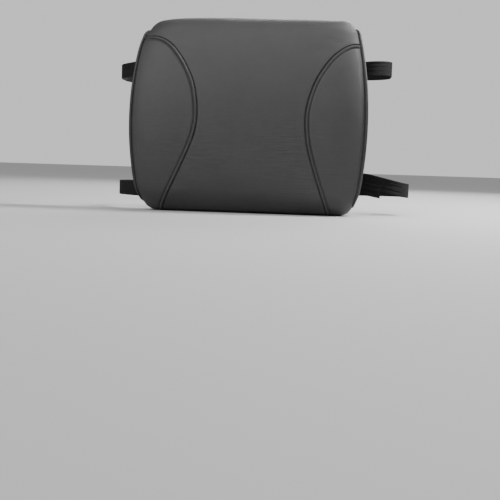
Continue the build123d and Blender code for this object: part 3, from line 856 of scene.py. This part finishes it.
def new_material(name, roughness=0.5, specular=0.5):
    """A material with a Principled shader. Returns it with its wiring and shader."""
    material = bpy.data.materials.new(name)
    material.use_nodes = True
    tree = material.node_tree
    shader = next(n for n in tree.nodes if n.type == "BSDF_PRINCIPLED")
    shader.inputs["Roughness"].default_value = roughness
    shader.inputs["Specular IOR Level"].default_value = specular
    return material, Wiring(tree), shader


def grey(value):
    return (value, value, value, 1.0)


def leatherette(name, base, roughness, grain=900.0, depth=1.0, gathered=False):
    """Pebbled leatherette, with shade painted darker into its pores and its sewn grooves."""
    material, w, shader = new_material(name, roughness, 0.42)
    skin = w.group(LEATHER_GRAIN, {"Grain Scale": grain})
    if gathered:
        mask = w.node("ShaderNodeAttribute", attribute_name="gather")
        w.feed(mask.outputs["Fac"], skin.inputs["Gather"])
    wear = w.handled(0.25, 0.06)
    seam = w.node("ShaderNodeAttribute", attribute_name="painted_groove_shade").outputs["Fac"]
    tone = w.mix(w.ramp(skin.outputs["Tone"], 0.0, 1.0, 0.3, 0.7), grey(base * 0.96), grey(base * 1.04))
    # painted shade: darker in the pores, the low valleys of the grain
    tone = w.mix(w.math("MULTIPLY", skin.outputs["Pores"], 0.35), tone, grey(base * 0.45))
    # painted shade: darker along the sewn grooves, the topstitch groove and beside the piping
    tone = w.mix(w.math("MULTIPLY", seam, 0.70), tone, grey(base * 0.25))
    tone = w.mix(wear.outputs["Rub"], tone, grey(base * 1.8))
    tone = w.mix(wear.outputs["Film"], tone, grey(0.13))
    w.feed(tone, shader.inputs["Base Color"])
    rough = w.math("ADD", w.math("MULTIPLY", skin.outputs["Pores"], 0.18), roughness)
    rough = w.math("ADD", rough, w.math("MULTIPLY", wear.outputs["Film"], 0.3), clamp=True)
    w.feed(rough, shader.inputs["Roughness"])
    w.bump(shader, skin.outputs["Height"], 0.6, 0.00034 * depth)
    shader.inputs["Sheen Weight"].default_value = 0.06
    shader.inputs["Sheen Roughness"].default_value = 0.5
    return material


def cloth_material(name, base, thread, gap=0.4):
    """Plain woven cloth whose threads run along X and Z."""
    material, w, shader = new_material(name, 0.85, 0.25)
    place = w.node("ShaderNodeTexCoord").outputs["Object"]
    turned = w.node("ShaderNodeMapping", {"Vector": place, "Rotation": (math.pi / 2, 0.0, 0.0)}).outputs[0]
    weave = w.group(WEAVE, {"Place": turned, "Thread Width": thread})
    wear = w.handled(0.1, 0.08)
    tone = w.mix(w.noise(place, 30.0, 3.0), grey(base * 0.92), grey(base * 1.08))
    # painted shade: darker in the gaps between the threads
    tone = w.mix(w.math("MULTIPLY", weave.outputs["Gaps"], gap), tone, grey(base * 0.3))
    tone = w.mix(wear.outputs["Film"], tone, grey(min(0.6, base * 2.2 + 0.06)))
    w.feed(tone, shader.inputs["Base Color"])
    fuzz = w.noise(place, 3200.0, 1.0)
    height = w.math("ADD", weave.outputs["Height"], w.math("MULTIPLY", fuzz, 0.35))
    w.bump(shader, height, 0.6, thread * 0.35)
    shader.inputs["Sheen Weight"].default_value = 0.15
    return material


def webbing_material(name, base):
    """Heavy knitted elastic: ribs along its length, and small loops across each rib."""
    material, w, shader = new_material(name, 0.85, 0.16)
    coordinate = w.node("ShaderNodeTexCoord")
    parts = w.node("ShaderNodeSeparateXYZ", {0: coordinate.outputs["UV"]})
    rib = w.math("COSINE", w.math("MULTIPLY", parts.outputs[1], 2 * math.pi / RIB_PITCH))
    bent = w.math("ADD", parts.outputs[0], w.math("MULTIPLY", rib, 0.00022))
    loop = w.math("COSINE", w.math("MULTIPLY", bent, 2 * math.pi / 0.00125))
    height = w.math("ADD", w.math("MULTIPLY", rib, 0.5), w.math("MULTIPLY", loop, 0.28))
    wear = w.handled(0.2, 0.10)
    # painted shade: darker where the knit lies deep, between the ribs and loops
    deep = w.ramp(height, 1.0, 0.0, -0.7, 0.1)
    tone = w.mix(w.noise(coordinate.outputs["Object"], 40.0, 3.0), grey(base * 0.8), grey(base * 1.2))
    tone = w.mix(w.math("MULTIPLY", deep, 0.6), tone, grey(base * 0.35))
    tone = w.mix(wear.outputs["Film"], tone, grey(0.05))
    w.feed(tone, shader.inputs["Base Color"])
    w.bump(shader, height, 0.6, 0.00025)
    return material


def thread_material(name, base):
    """Twisted sewing thread."""
    material, w, shader = new_material(name, 0.55, 0.4)
    place = w.node("ShaderNodeTexCoord").outputs["Object"]
    twist = w.node("ShaderNodeTexWave", {"Vector": place, "Scale": 900.0, "Distortion": 1.0},
                   bands_direction="DIAGONAL").outputs["Fac"]
    w.feed(w.mix(twist, grey(base * 0.6), grey(base * 1.3)), shader.inputs["Base Color"])
    w.bump(shader, twist, 0.5, 0.0001)
    return material


def moulded_plastic(name, base, roughness):
    """Moulded acetal: fine spark texture, faint flow marks, and rubbed edges."""
    material, w, shader = new_material(name, roughness, 0.5)
    place = w.node("ShaderNodeTexCoord").outputs["Object"]
    spark = w.noise(place, 2400.0, 2.0)
    flow = w.noise(place, 90.0, 3.0, 1.2)
    wear = w.handled(0.6, 0.25)
    tone = w.mix(flow, grey(base * 0.85), grey(base * 1.15))
    tone = w.mix(wear.outputs["Rub"], tone, grey(base * 2.6))
    tone = w.mix(wear.outputs["Film"], tone, grey(0.16))
    w.feed(tone, shader.inputs["Base Color"])
    rough = w.ramp(flow, roughness - 0.06, roughness + 0.08)
    rough = w.math("ADD", rough, w.math("MULTIPLY", wear.outputs["Film"], 0.4), clamp=True)
    w.feed(rough, shader.inputs["Roughness"])
    w.bump(shader, spark, 0.35, 0.00006)
    return material


def dark_metal(name, base):
    """Black-plated zinc, worn to bare metal along its edges."""
    material, w, shader = new_material(name, 0.3, 0.5)
    place = w.node("ShaderNodeTexCoord").outputs["Object"]
    drawn = w.node("ShaderNodeMapping", {"Vector": place, "Scale": (60.0, 900.0, 1400.0)}).outputs[0]
    scratch = w.noise(drawn, 1.0, 3.0)
    wear = w.handled(1.6, 0.2)
    tone = w.mix(scratch, grey(base * 0.8), grey(base * 1.25))
    tone = w.mix(wear.outputs["Rub"], tone, grey(0.45))
    w.feed(tone, shader.inputs["Base Color"])
    w.feed(w.ramp(wear.outputs["Rub"], 0.85, 1.0), shader.inputs["Metallic"])
    w.feed(w.ramp(scratch, 0.24, 0.44), shader.inputs["Roughness"])
    w.bump(shader, scratch, 0.25, 0.00005)
    return material


def foam_material(name):
    """Open-cell moulded foam."""
    material, w, shader = new_material(name, 0.9, 0.2)
    place = w.node("ShaderNodeTexCoord").outputs["Object"]
    cells = w.node("ShaderNodeTexVoronoi", {"Vector": place, "Scale": 700.0}).outputs["Distance"]
    w.feed(w.mix(cells, (0.42, 0.39, 0.31, 1), (0.66, 0.63, 0.52, 1)), shader.inputs["Base Color"])
    w.bump(shader, cells, 0.7, 0.0006)
    shader.inputs["Subsurface Weight"].default_value = 0.05
    return material


LEATHER = leatherette("black_leatherette", 0.032, 0.52, gathered=True)
SIDE_LEATHER = leatherette("black_leatherette_sides", 0.030, 0.58, gathered=True)
CORD_LEATHER = leatherette("piping_leatherette", 0.018, 0.50, grain=1300.0, depth=0.6)
BACK_CLOTH = cloth_material("back_cloth", 0.030, 0.0009)
LINER_CLOTH = cloth_material("liner_knit", 0.55, 0.0009, gap=0.2)
THREAD = thread_material("black_thread", 0.018)
WEBBING = webbing_material("elastic_webbing", 0.0095)
TAPE_CLOTH = cloth_material("zip_tape_cloth", 0.020, 0.0005)
TEETH = moulded_plastic("zip_teeth_plastic", 0.022, 0.35)
SLIDER_METAL = dark_metal("blackened_zinc", 0.10)
BUCKLE = moulded_plastic("buckle_acetal", 0.022, 0.38)
FOAM = foam_material("moulded_foam")


def finish_piece(obj, material, body="cushion", stands_for=()):
    """Gives a finished piece its material, its body and its CAD nodes."""
    obj.data.materials.clear()
    obj.data.materials.append(material)
    if body:
        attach(obj, body)
    if stands_for:
        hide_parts(*stands_for)
    return obj


# ------------------------------------------------------------------ cords, stitches, teeth
def carrier(name, lines):
    """A curve object with one poly spline for each line of points."""
    data = bpy.data.curves.new(name, "CURVE")
    data.dimensions = "3D"
    for line in lines:
        spline = data.splines.new("POLY")
        spline.points.add(len(line) - 1)
        spline.points.foreach_set("co", np.hstack([line, np.ones((len(line), 1))]).ravel())
    return placed(name, data)


def built(name, lines, tree, values):
    """Runs a node tree on a carrier curve and returns the plain mesh it makes."""
    obj = carrier(name + "_line", lines)
    modifier = obj.modifiers.new("build", "NODES")
    modifier.node_group = tree
    for item in tree.interface.items_tree:
        if item.item_type == "SOCKET" and item.in_out == "INPUT" and item.name in values:
            modifier[item.identifier] = values[item.name]
    bpy.context.view_layer.update()
    mesh = bpy.data.meshes.new_from_object(obj.evaluated_get(bpy.context.evaluated_depsgraph_get()))
    obj.modifiers.clear()
    bpy.data.objects.remove(obj)
    mesh.name = name
    return placed(name, mesh)


def line_tree(name, inputs):
    """A geometry tree that runs on lines, with its own sizes and a finish."""
    tree, start, end = new_tree(
        name, "GeometryNodeTree",
        [("Geometry", "NodeSocketGeometry", None)] + inputs + [("Finish", "NodeSocketMaterial", None)],
        [("Geometry", "NodeSocketGeometry")])
    return tree, start.outputs, end.inputs["Geometry"], Wiring(tree)


def finish_line(w, geometry, sizes, out, smooth):
    """Ends a line tree: real mesh, smooth or faceted, with its finish."""
    made = w.node("GeometryNodeRealizeInstances", {"Geometry": geometry})
    if smooth:
        made = w.node("GeometryNodeSetShadeSmooth", {"Geometry": made.outputs[0]})
    paint = w.node("GeometryNodeSetMaterial", {"Geometry": made.outputs[0], "Material": sizes["Finish"]})
    w.feed(paint.outputs[0], out)


def piping_tree():
    """A round cord along each line, with the slight tucks of a covered cord."""
    tree, sizes, out, w = line_tree("covered_piping", [("Radius", "NodeSocketFloat", 0.002),
                                                       ("Tuck", "NodeSocketFloat", 0.04)])
    circle = w.node("GeometryNodeCurvePrimitiveCircle", {"Resolution": 14})
    circle.inputs["Radius"].default_value = 1.0
    tuck = w.noise(w.node("GeometryNodeInputPosition").outputs[0], 160.0, 2.0)
    size = w.math("ADD", 1.0, w.math("MULTIPLY", w.math("SUBTRACT", tuck, 0.5), sizes["Tuck"]))
    reach = w.math("MULTIPLY", size, sizes["Radius"])
    radius = w.node("GeometryNodeSetCurveRadius", {"Curve": sizes["Geometry"], "Radius": reach})
    tube = w.node("GeometryNodeCurveToMesh", {"Curve": radius.outputs[0], "Profile Curve": circle.outputs[0],
                                              "Fill Caps": True})
    if "Scale" in tube.inputs:
        w.feed(reach, tube.inputs["Scale"])
    finish_line(w, tube.outputs[0], sizes, out, True)
    return tree


def stitch_tree():
    """A row of stitches along each line: one short rounded thread for each stitch."""
    tree, sizes, out, w = line_tree("row_of_stitches", [
        ("Pitch", "NodeSocketFloat", STITCH_PITCH), ("Length", "NodeSocketFloat", STITCH_LENGTH),
        ("Thread Radius", "NodeSocketFloat", THREAD_RADIUS), ("Unevenness", "NodeSocketFloat", 0.06),
        ("Seed", "NodeSocketInt", 4)])
    points = w.node("GeometryNodeCurveToPoints", {"Curve": sizes["Geometry"], "Length": sizes["Pitch"]},
                    mode="LENGTH")
    ball = w.node("GeometryNodeMeshUVSphere", {"Segments": 8, "Rings": 5, "Radius": 1.0})
    thread = sizes["Thread Radius"]
    size = w.node("ShaderNodeCombineXYZ", {0: thread, 1: thread, 2: w.math("MULTIPLY", sizes["Length"], 0.5)})
    uneven = w.node("FunctionNodeRandomValue", {"Seed": sizes["Seed"]}, data_type="FLOAT_VECTOR")
    for index, sign in ((0, -1.0), (1, 1.0)):
        lean = w.math("MULTIPLY", sizes["Unevenness"], sign)
        limit = w.node("ShaderNodeCombineXYZ", {0: lean, 1: lean, 2: 0.0})
        w.feed(limit.outputs[0], uneven.inputs[index])
    laid = w.node("GeometryNodeInstanceOnPoints", {
        "Points": points.outputs["Points"], "Instance": ball.outputs[0],
        "Rotation": points.outputs["Rotation"], "Scale": size.outputs[0]})
    turned = w.node("GeometryNodeRotateInstances",
                    {"Instances": laid.outputs[0], "Rotation": uneven.outputs[0]})
    finish_line(w, turned.outputs[0], sizes, out, True)
    return tree


def teeth_tree():
    """Moulded zip teeth along each line, each a rounded block with a waist."""
    tree, sizes, out, w = line_tree("zip_teeth_row", [("Pitch", "NodeSocketFloat", TOOTH_PITCH),
                                                      ("Size", "NodeSocketVector", None)])
    points = w.node("GeometryNodeCurveToPoints", {"Curve": sizes["Geometry"], "Length": sizes["Pitch"]},
                    mode="LENGTH")
    block = w.node("GeometryNodeMeshCube", {"Size": (1.0, 1.0, 1.0), "Vertices X": 3, "Vertices Y": 2,
                                            "Vertices Z": 3})
    place = w.node("GeometryNodeInputPosition").outputs[0]
    parts = w.node("ShaderNodeSeparateXYZ", {0: place})
    inner = w.math("SUBTRACT", 1.0, w.math("MULTIPLY", w.math("ABSOLUTE", parts.outputs[2]), 0.35))
    shaped = w.node("ShaderNodeCombineXYZ", {
        0: w.math("MULTIPLY", parts.outputs[0], inner),
        1: w.math("MULTIPLY", parts.outputs[1], inner), 2: parts.outputs[2]})
    moved = w.node("GeometryNodeSetPosition", {"Geometry": block.outputs[0], "Position": shaped.outputs[0]})
    laid = w.node("GeometryNodeInstanceOnPoints", {
        "Points": points.outputs["Points"], "Instance": moved.outputs[0], "Scale": sizes["Size"]})
    finish_line(w, laid.outputs[0], sizes, out, False)
    return tree


def tree_of(objects):
    """One surface to lay thread on, from finished pieces with their modifiers."""
    points, faces, first = [], [], 0
    depsgraph = bpy.context.evaluated_depsgraph_get()
    for obj in objects:
        mesh = obj.evaluated_get(depsgraph).to_mesh()
        co = coordinates(mesh)
        points += [Vector(c) for c in co]
        faces += [[i + first for i in p.vertices] for p in mesh.polygons]
        first += len(co)
        obj.evaluated_get(depsgraph).to_mesh_clear()
    return BVHTree.FromPolygons(points, faces)


def laid_on(tree, points, normals, lift):
    """Points dropped along their normals onto a surface, and raised by lift."""
    out = []
    for p, n in zip(points, normals):
        p, n = Vector(p), Vector(n)
        hit = tree.ray_cast(p + n * 0.012, -n, 0.03)[0]
        if hit is not None:
            out.append(hit + n * lift)
    return np.array([tuple(p) for p in out])


# ------------------------------------------------------------------ straps
def rounded_route(corners, radii, step=0.004):
    """A line through corners (x, y), with its turns rounded to the given radii."""
    p = np.array(corners, float)
    out = [p[0]]
    for i in range(1, len(p) - 1):
        u = (p[i - 1] - p[i]) / np.linalg.norm(p[i - 1] - p[i])
        v = (p[i + 1] - p[i]) / np.linalg.norm(p[i + 1] - p[i])
        angle = math.acos(np.clip(u @ v, -1, 1))
        r = radii[i - 1]
        cut = r / math.tan(angle / 2)
        centre = p[i] + (u + v) / np.linalg.norm(u + v) * (r / math.sin(angle / 2))
        a, b = p[i] + u * cut - centre, p[i] + v * cut - centre
        sweep = math.atan2(a[0] * b[1] - a[1] * b[0], a @ b)
        n = max(6, int(abs(sweep) * r / step) + 1)
        for t in np.linspace(0, sweep, n + 1):
            out.append(centre + np.array([a[0] * math.cos(t) - a[1] * math.sin(t),
                                          a[0] * math.sin(t) + a[1] * math.cos(t)]))
    out.append(p[-1])
    line = [out[0]]
    for q in out[1:]:
        gap = np.linalg.norm(q - line[-1])
        if gap < 1e-6:
            continue
        start = line[-1]
        pieces = max(1, int(gap / step))
        line += [start + (q - start) * k / pieces for k in range(1, pieces + 1)]
    return np.array(line)


def make_strap(name, route, z, thickness, folds=None):
    """A ribbed strap of real thickness along a route (x, y), at a height for each point."""
    width = STRAP_WIDTH
    along = lengths(route)
    tangent = unit(np.gradient(route, axis=0))
    normal = np.stack([-tangent[:, 1], tangent[:, 0]], 1)
    ribs = int(round(width / RIB_PITCH))
    across = np.linspace(-width / 2, width / 2, ribs * 4 + 1)
    edge = 1 - np.abs(across) / (width / 2)
    swell = np.sqrt(np.clip(1 - (1 - np.clip(edge * width / 2 / (thickness * 0.6), 0, 1)) ** 2, 0, 1))
    rib = 0.00010 * (np.cos(across * 2 * math.pi / RIB_PITCH) - 1)
    half = (thickness / 2 + rib) * np.maximum(swell, 0.12)
    loop_across = np.concatenate([across, across[::-1][1:-1]])
    loop_out = np.concatenate([half, -half[::-1][1:-1]])
    rng = np.random.default_rng(1)
    sway = sum(np.sin(along * k + rng.uniform(0, 6)) for k in (37.0, 61.0)) * 0.00006
    move = np.zeros((len(route), len(loop_across))) if folds is None else folds(route, loop_across)
    out = loop_out[None] + sway[:, None] + move
    points = np.stack([route[:, :1] + normal[:, :1] * out, route[:, 1:] + normal[:, 1:] * out,
                       z[:, None] + loop_across[None] + 0 * out], -1)
    rows, columns = points.shape[:2]
    i, j = np.meshgrid(np.arange(rows - 1), np.arange(columns), indexing="ij")
    a, b = (i * columns + j).ravel(), (i * columns + (j + 1) % columns).ravel()
    quads = np.stack([a, b, b + columns, a + columns], 1)
    first_end = list(range(columns))
    last_end = list(range((rows - 1) * columns, rows * columns))[::-1]
    faces = [list(q) for q in quads] + [first_end, last_end]
    obj = mesh_object(name, points, faces)
    clean = bmesh.new()
    clean.from_mesh(obj.data)
    bmesh.ops.recalc_face_normals(clean, faces=clean.faces)
    uv = clean.loops.layers.uv.new("UVMap")
    for face in clean.faces:
        for loop in face.loops:
            k = loop.vert.index
            loop[uv].uv = (along[k // columns], loop_across[k % columns])
    for face in clean.faces:
        face.smooth = len(face.verts) < 5
    clean.to_mesh(obj.data)
    clean.free()
    return obj


def strap_folds(share):
    """The lengthwise folds and the curl of a strap's front run, on the right."""
    def folds(route, across):
        x = route[:, :1]
        run = smooth_step((x - 0.150) / 0.02) * smooth_step((0.270 - x) / 0.02) * (route[:, 1:] < 0.03)
        crease = 0
        for first, drift, wide in ((0.0078, -0.012, 0.0011), (0.0022, 0.018, 0.0013),
                                   (-0.0048, -0.020, 0.0012)):
            away = across[None] - (first + drift * (x - 0.2))
            crease = crease + np.exp(-(away / wide) ** 2) - 0.5 * np.exp(-((away - 0.0026) / 0.0018) ** 2)
        curl = (across[None] / (STRAP_WIDTH / 2)) ** 2 * 0.0006
        return run * share * (curl - 0.0008 * crease)
    return folds


def strap_route(left, right, tail):
    """A strap in plan, from its sewn end, round the loop and the plug's bar, to its tail."""
    corners = [(-0.118, 0.0007), (-left, 0.0007), (-left, LOOP_BACK), (right, LOOP_BACK),
               (right, 0.00795), (0.1354, 0.00795), (0.1254, 0.0097), (0.105, 0.0097),
               (0.105, 0.0047), (0.1254, 0.0047), (0.1354, 0.00645), (tail, 0.00645)]
    return rounded_route(corners, [0.045] * 4 + [0.012] * 2 + [0.002499] * 2 + [0.012] * 2)


def strap_heights(route, anchor, left_z, right, front_run, tail, tail_drop):
    """The height at each point of a strap that tilts across the back of the seat."""
    x, y = route[:, 0], route[:, 1]
    xs, zs = np.array(front_run).T
    behind = left_z + (zs[-1] - left_z) * smooth_step((x + 0.236) / (right + 0.23))
    sewn = left_z + (anchor - left_z) * smooth_step((x + 0.236) / 0.060)
    level = np.where(y > 0.0626, behind, np.where(x > 0, np.interp(x, xs, zs), sewn))
    along = lengths(route)
    tail_points = int(np.sum(along > along[-1] - (tail - 0.1354)))
    on_tail = np.arange(len(route)) > len(route) - 1 - tail_points
    level = np.convolve(np.pad(level, 4, mode="edge"), np.ones(9) / 9, "valid")
    return level - tail_drop * smooth_step((x - 0.145) / 0.05) * on_tail


STUB_CORNERS = [(0.010, 0.0006), (0.044, 0.0006), (0.058, 0.0041), (0.0668, 0.0041), (0.0668, 0.0103),
                (0.058, 0.0103), (0.044, 0.0019), (0.010, 0.0019)]
STUB_RADII = [0.008, 0.008, 0.002, 0.002, 0.008, 0.008]
# which, loop's left and right, end of tail, height on the left, front run (x, z), tail drop, folds
STRAPS = (
    ("upper", 0.240, 0.240, 0.178, 0.077,
     [(0.120, 0.083), (0.140, 0.083), (0.190, 0.089), (0.240, 0.093)], 0.0, 0.3),
    ("lower", 0.240, 0.278, 0.226, -0.128,
     [(0.120, -0.106), (0.140, -0.106), (0.165, -0.102), (0.195, -0.101), (0.268, -0.118), (0.278, -0.119)],
     0.013, 1.0),
)


def make_straps():
    for which, left, right, tail, left_z, front_run, tail_drop, fold_share in STRAPS:
        anchor, buckle = ANCHOR_HEIGHTS[which], BUCKLE_HEIGHTS[which]
        whole = strap_route(left, right, tail)
        returning = (whole[:, 0] > 0) & (whole[:, 1] < 0.0625) & (np.gradient(whole[:, 1]) < -1e-9)
        cut = int(np.argmax(returning))
        level = strap_heights(whole, anchor, left_z, right, front_run, tail, tail_drop)
        rear = make_strap(f"{which}_strap_rear_run", whole[:cut + 1], level[:cut + 1], STRAP_THICKNESS)
        front = make_strap(f"{which}_strap_front_run", whole[cut:], level[cut:], STRAP_THICKNESS,
                           strap_folds(fold_share))
        finish_piece(rear, WEBBING, stands_for=[f"{which}_strap"])
        finish_piece(front, WEBBING, body=None)
        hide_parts(f"{which}_strap")
        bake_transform(front)
        route = rounded_route(STUB_CORNERS, STUB_RADII, 0.003)
        stub = make_strap(f"{which}_buckle_stub_webbing", route, np.full(len(route), buckle), STUB_THICKNESS)
        finish_piece(stub, WEBBING, stands_for=[f"{which}_buckle_stub"])


def box_stitches(stitches):
    """Sewn boxes with crossed diagonals that hold the straps' ends to the back."""
    for which in ("upper", "lower"):
        lines = []
        for low, high, y, level in ((-0.163, -0.121, 0.00152, ANCHOR_HEIGHTS[which]),
                                    (0.0125, 0.0375, 0.00262, BUCKLE_HEIGHTS[which])):
            a, b = level - 0.0095, level + 0.0095
            corners = [(low, a), (high, a), (high, b), (low, b)]
            for start, end in ((0, 1), (1, 2), (2, 3), (3, 0), (0, 2), (1, 3)):
                p, q = np.array(corners[start]), np.array(corners[end])
                flat = p + (q - p) * np.linspace(0, 1, 20)[:, None]
                lines.append(np.stack([flat[:, 0], np.full(20, y), flat[:, 1]], 1))
        row = built(f"{which}_anchor_box_stitches", lines, stitches,
                    {"Pitch": 0.0026, "Length": 0.0022, "Thread Radius": 0.00032, "Finish": THREAD})
        finish_piece(row, THREAD, stands_for=[f"{which}_anchor_stitches"])


# ------------------------------------------------------------------ building it
def make_cover():
    skin, wrap, sides = make_foam()
    foam = inset_copy(skin, "foam_core_block_filled", FOAM_INSET + 0.0006)
    liner = inset_copy(skin, "liner_sleeve", FOAM_INSET)
    bpy.data.objects.remove(skin)
    finish_piece(foam, FOAM, stands_for=["foam_core"])
    thick = liner.modifiers.new("liner thickness", "SOLIDIFY")
    thick.thickness = 0.0004
    thick.offset = 1
    finish_piece(liner, LINER_CLOTH, stands_for=["inner_liner"])

    centre = make_centre_panel(wrap)
    wings = {side: make_wing(wrap, side) for side in (1, -1)}
    gussets = {side: make_side_panel(sides[side], side) for side in (1, -1)}
    backs = [make_back_panel(True), make_back_panel(False)]
    finish_piece(centre, LEATHER, stands_for=["front_centre_panel"])
    for side, word in SIDES:
        finish_piece(wings[side], LEATHER, stands_for=[f"{word}_wing_panel"])
        finish_piece(gussets[side], SIDE_LEATHER, stands_for=[f"{word}_side_panel"])
    for panel, node, flat, area in (
        (backs[0], "upper_back_panel", (0.390, 0.227), 0.0819),
        (backs[1], "lower_back_panel", (0.384, 0.098), 0.0361),
    ):
        finish_piece(panel, BACK_CLOTH, stands_for=[node])
    return wings, backs


def make_piping(side, word, piping):
    b = np.linspace(0.0035, TOTAL - 0.0035, 420)
    edge = side_edge(b, side)
    wrap_out = surface_normal(edge_shape(b)[1] * side * 0.999, b)
    outward = unit(wrap_out + np.array([side * 1.0, 0, 0]))
    line = edge - outward * 0.0008 + np.array([side * 0.0009, 0, 0])
    cord = built(f"{word}_piping_cord", [line], piping,
                 {"Radius": PIPING_RADIUS, "Tuck": 0.10, "Finish": CORD_LEATHER})
    finish_piece(cord, CORD_LEATHER, stands_for=[f"{word}_piping"])


def make_topstitching(side, word, wing, stitches):
    seam = SEAMS[side] * np.array([side, 1.0])
    tangent = unit(np.gradient(seam, axis=0))
    row = seam + np.stack([tangent[:, 1], -tangent[:, 0]], 1) * TOPSTITCH_GAP
    row = row[(row[:, 1] < TOTAL - 0.002) & (row[:, 0] < edge_shape(row[:, 1])[1] - 0.004)]
    x, b = row[:, 0] * side, row[:, 1]
    points = laid_on(tree_of([wing]), surface(x, b), surface_normal(x, b), 0.0001)
    made = built(f"{word}_wing_topstitching", [points], stitches, {"Finish": THREAD})
    finish_piece(made, THREAD, stands_for=[f"{word}_wing_topstitches"])


def make_zip_side(word, sign, back, teeth, stitches):
    """One side of the zip: its row of teeth, and the stitches that hold its tape."""
    middle, slot_start, slot_end = zip_line()
    low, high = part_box("upper_zip_teeth")
    shift = 0.0 if sign > 0 else TOOTH_PITCH / 2
    ends = (low.x + 0.00065, high.x - 0.00065 - shift)
    line = np.array([(x + shift, -0.00155, middle + sign * 0.0004) for x in ends])
    row = built(f"{word}_zip_teeth_row", [line], teeth,
                {"Pitch": TOOTH_PITCH, "Size": TOOTH_SIZE, "Finish": TEETH})
    finish_piece(row, TEETH, stands_for=[f"{word}_zip_teeth"])
    soften = row.modifiers.new("moulded edges", "BEVEL")
    soften.width = 0.00025
    soften.segments = 2
    x = np.linspace(slot_start - 0.004, slot_end + 0.004, 260)
    z = np.full_like(x, middle + sign * (ZIP_HALF_OPENING + 0.0024))
    outward = np.tile([0.0, 1.0, 0.0], (len(x), 1))
    points = laid_on(tree_of([back]), np.stack([x, 0 * x, z], 1), outward, 0.0001)
    made = built(f"{word}_zip_stitch_row", [points], stitches,
                 {"Pitch": 0.0034, "Length": 0.0028, "Thread Radius": 0.00026, "Finish": THREAD})
    finish_piece(made, THREAD)


def make_trims(wings, backs):
    piping, stitches, teeth = piping_tree(), stitch_tree(), teeth_tree()
    for side, word in SIDES:
        make_piping(side, word, piping)
        make_topstitching(side, word, wings[side], stitches)
    for word, sign, back in (("upper", 1, backs[0]), ("lower", -1, backs[1])):
        make_zip_side(word, sign, back, teeth, stitches)
    box_stitches(stitches)


def dress_cad_nodes():
    """Gives the hard CAD parts their finishes, and softens their moulded edges."""
    dressed = [("zip_slider", SLIDER_METAL, 0.00025), ("zip_pull", SLIDER_METAL, 0.00025),
               ("zip_end_stops", SLIDER_METAL, 0.0002)]
    for which in ("upper", "lower"):
        dressed += [(f"{which}_buckle_socket", BUCKLE, 0.0004), (f"{which}_buckle_plug", BUCKLE, 0.0004),
                    (f"{which}_latch_arm_top", BUCKLE, 0.0003), (f"{which}_latch_arm_bottom", BUCKLE, 0.0003),
                    (f"{which}_zip_tape", TAPE_CLOTH, 0)]
    for name, material, width in dressed:
        obj = nodes[name]
        for slot in obj.material_slots:
            slot.material = material
        if not obj.material_slots:
            obj.data.materials.append(material)
        if width:
            weld = obj.modifiers.new("join faces", "WELD")
            weld.merge_threshold = 1e-6
            bevel = obj.modifiers.new("moulded edges", "BEVEL")
            bevel.width = width
            bevel.segments = 2
            bevel.limit_method = "ANGLE"
            bevel.angle_limit = math.radians(40)
            bevel.harden_normals = False


def facing(obj, direction):
    """Turns a light or a camera so that it looks along a direction."""
    obj.rotation_euler = Vector(direction).to_track_quat("-Z", "Y").to_euler()


def softbox(name, place, target, size, power):
    data = bpy.data.lights.new(name, "AREA")
    data.shape = "RECTANGLE"
    data.size, data.size_y = size
    data.energy = power
    light = placed(name, data)
    light.location = place
    facing(light, Vector(target) - Vector(place))


def set_stage():
    floor = mesh_object("floor", [(-30, -30, 0), (30, -30, 0), (30, 30, 0), (-30, 30, 0)], [(0, 1, 2, 3)])
    floor.data.transform(Matrix.Translation((0, 0, -HALF_HEIGHT - FLOOR_GAP)))
    material, _, shader = new_material("pale_floor", 0.8, 0.2)
    shader.inputs["Base Color"].default_value = grey(FLOOR_TONE)
    floor.data.materials.append(material)
    world = bpy.data.worlds.new("studio")
    bpy.context.scene.world = world
    world.use_nodes = True
    w = Wiring(world.node_tree)
    background = world.node_tree.nodes["Background"]
    background.inputs["Color"].default_value = grey(1)
    background.inputs["Strength"].default_value = ROOM_LIGHT
    seen = w.node("ShaderNodeBackground", {"Color": grey(1), "Strength": WALL_TONE})
    path = w.node("ShaderNodeLightPath").outputs["Is Camera Ray"]
    mixed = w.node("ShaderNodeMixShader", {0: path, 1: background.outputs[0], 2: seen.outputs[0]})
    w.feed(mixed.outputs[0], world.node_tree.nodes["World Output"].inputs["Surface"])

    sky = bpy.data.lights.new("soft_key", "SUN")
    sky.energy = KEY_LIGHT
    sky.angle = math.radians(50)
    facing(placed("soft_key", sky), -Vector((-0.40, -1.04, 0.98)))
    softbox("front_left", (-1.3, -1.7, 0.9), (0, -0.05, 0.03), (0.9, 0.9), FRONT_LIGHT)
    softbox("rim_right", (1.4, 0.15, 1.15), (0.16, -0.06, 0.06), (0.4, 1.1), RIM_LIGHT)
    softbox("rear_fill", (0.5, 2.0, 1.3), (0, 0.0, 0), (1.6, 1.0), BACK_LIGHT)


def set_camera():
    data = bpy.data.cameras.new("front_camera")
    data.lens = 70
    data.sensor_width = 36
    camera = placed("front_camera", data)
    bpy.context.scene.camera = camera
    level = math.cos(CAMERA_ELEVATION)
    out = Vector((math.sin(CAMERA_AZIMUTH) * level, -math.cos(CAMERA_AZIMUTH) * level,
                  math.sin(CAMERA_ELEVATION)))
    camera.location = Vector(CAMERA_ORBITS) + out * CAMERA_DISTANCE
    level_look = (Vector(CAMERA_FACES) - camera.location).to_track_quat("-Z", "Y")
    rolled = level_look @ Matrix.Rotation(CAMERA_ROLL, 3, "Z").to_quaternion()
    camera.rotation_euler = rolled.to_euler()


make_trims(*make_cover())
make_straps()
dress_cad_nodes()
set_stage()
set_camera()
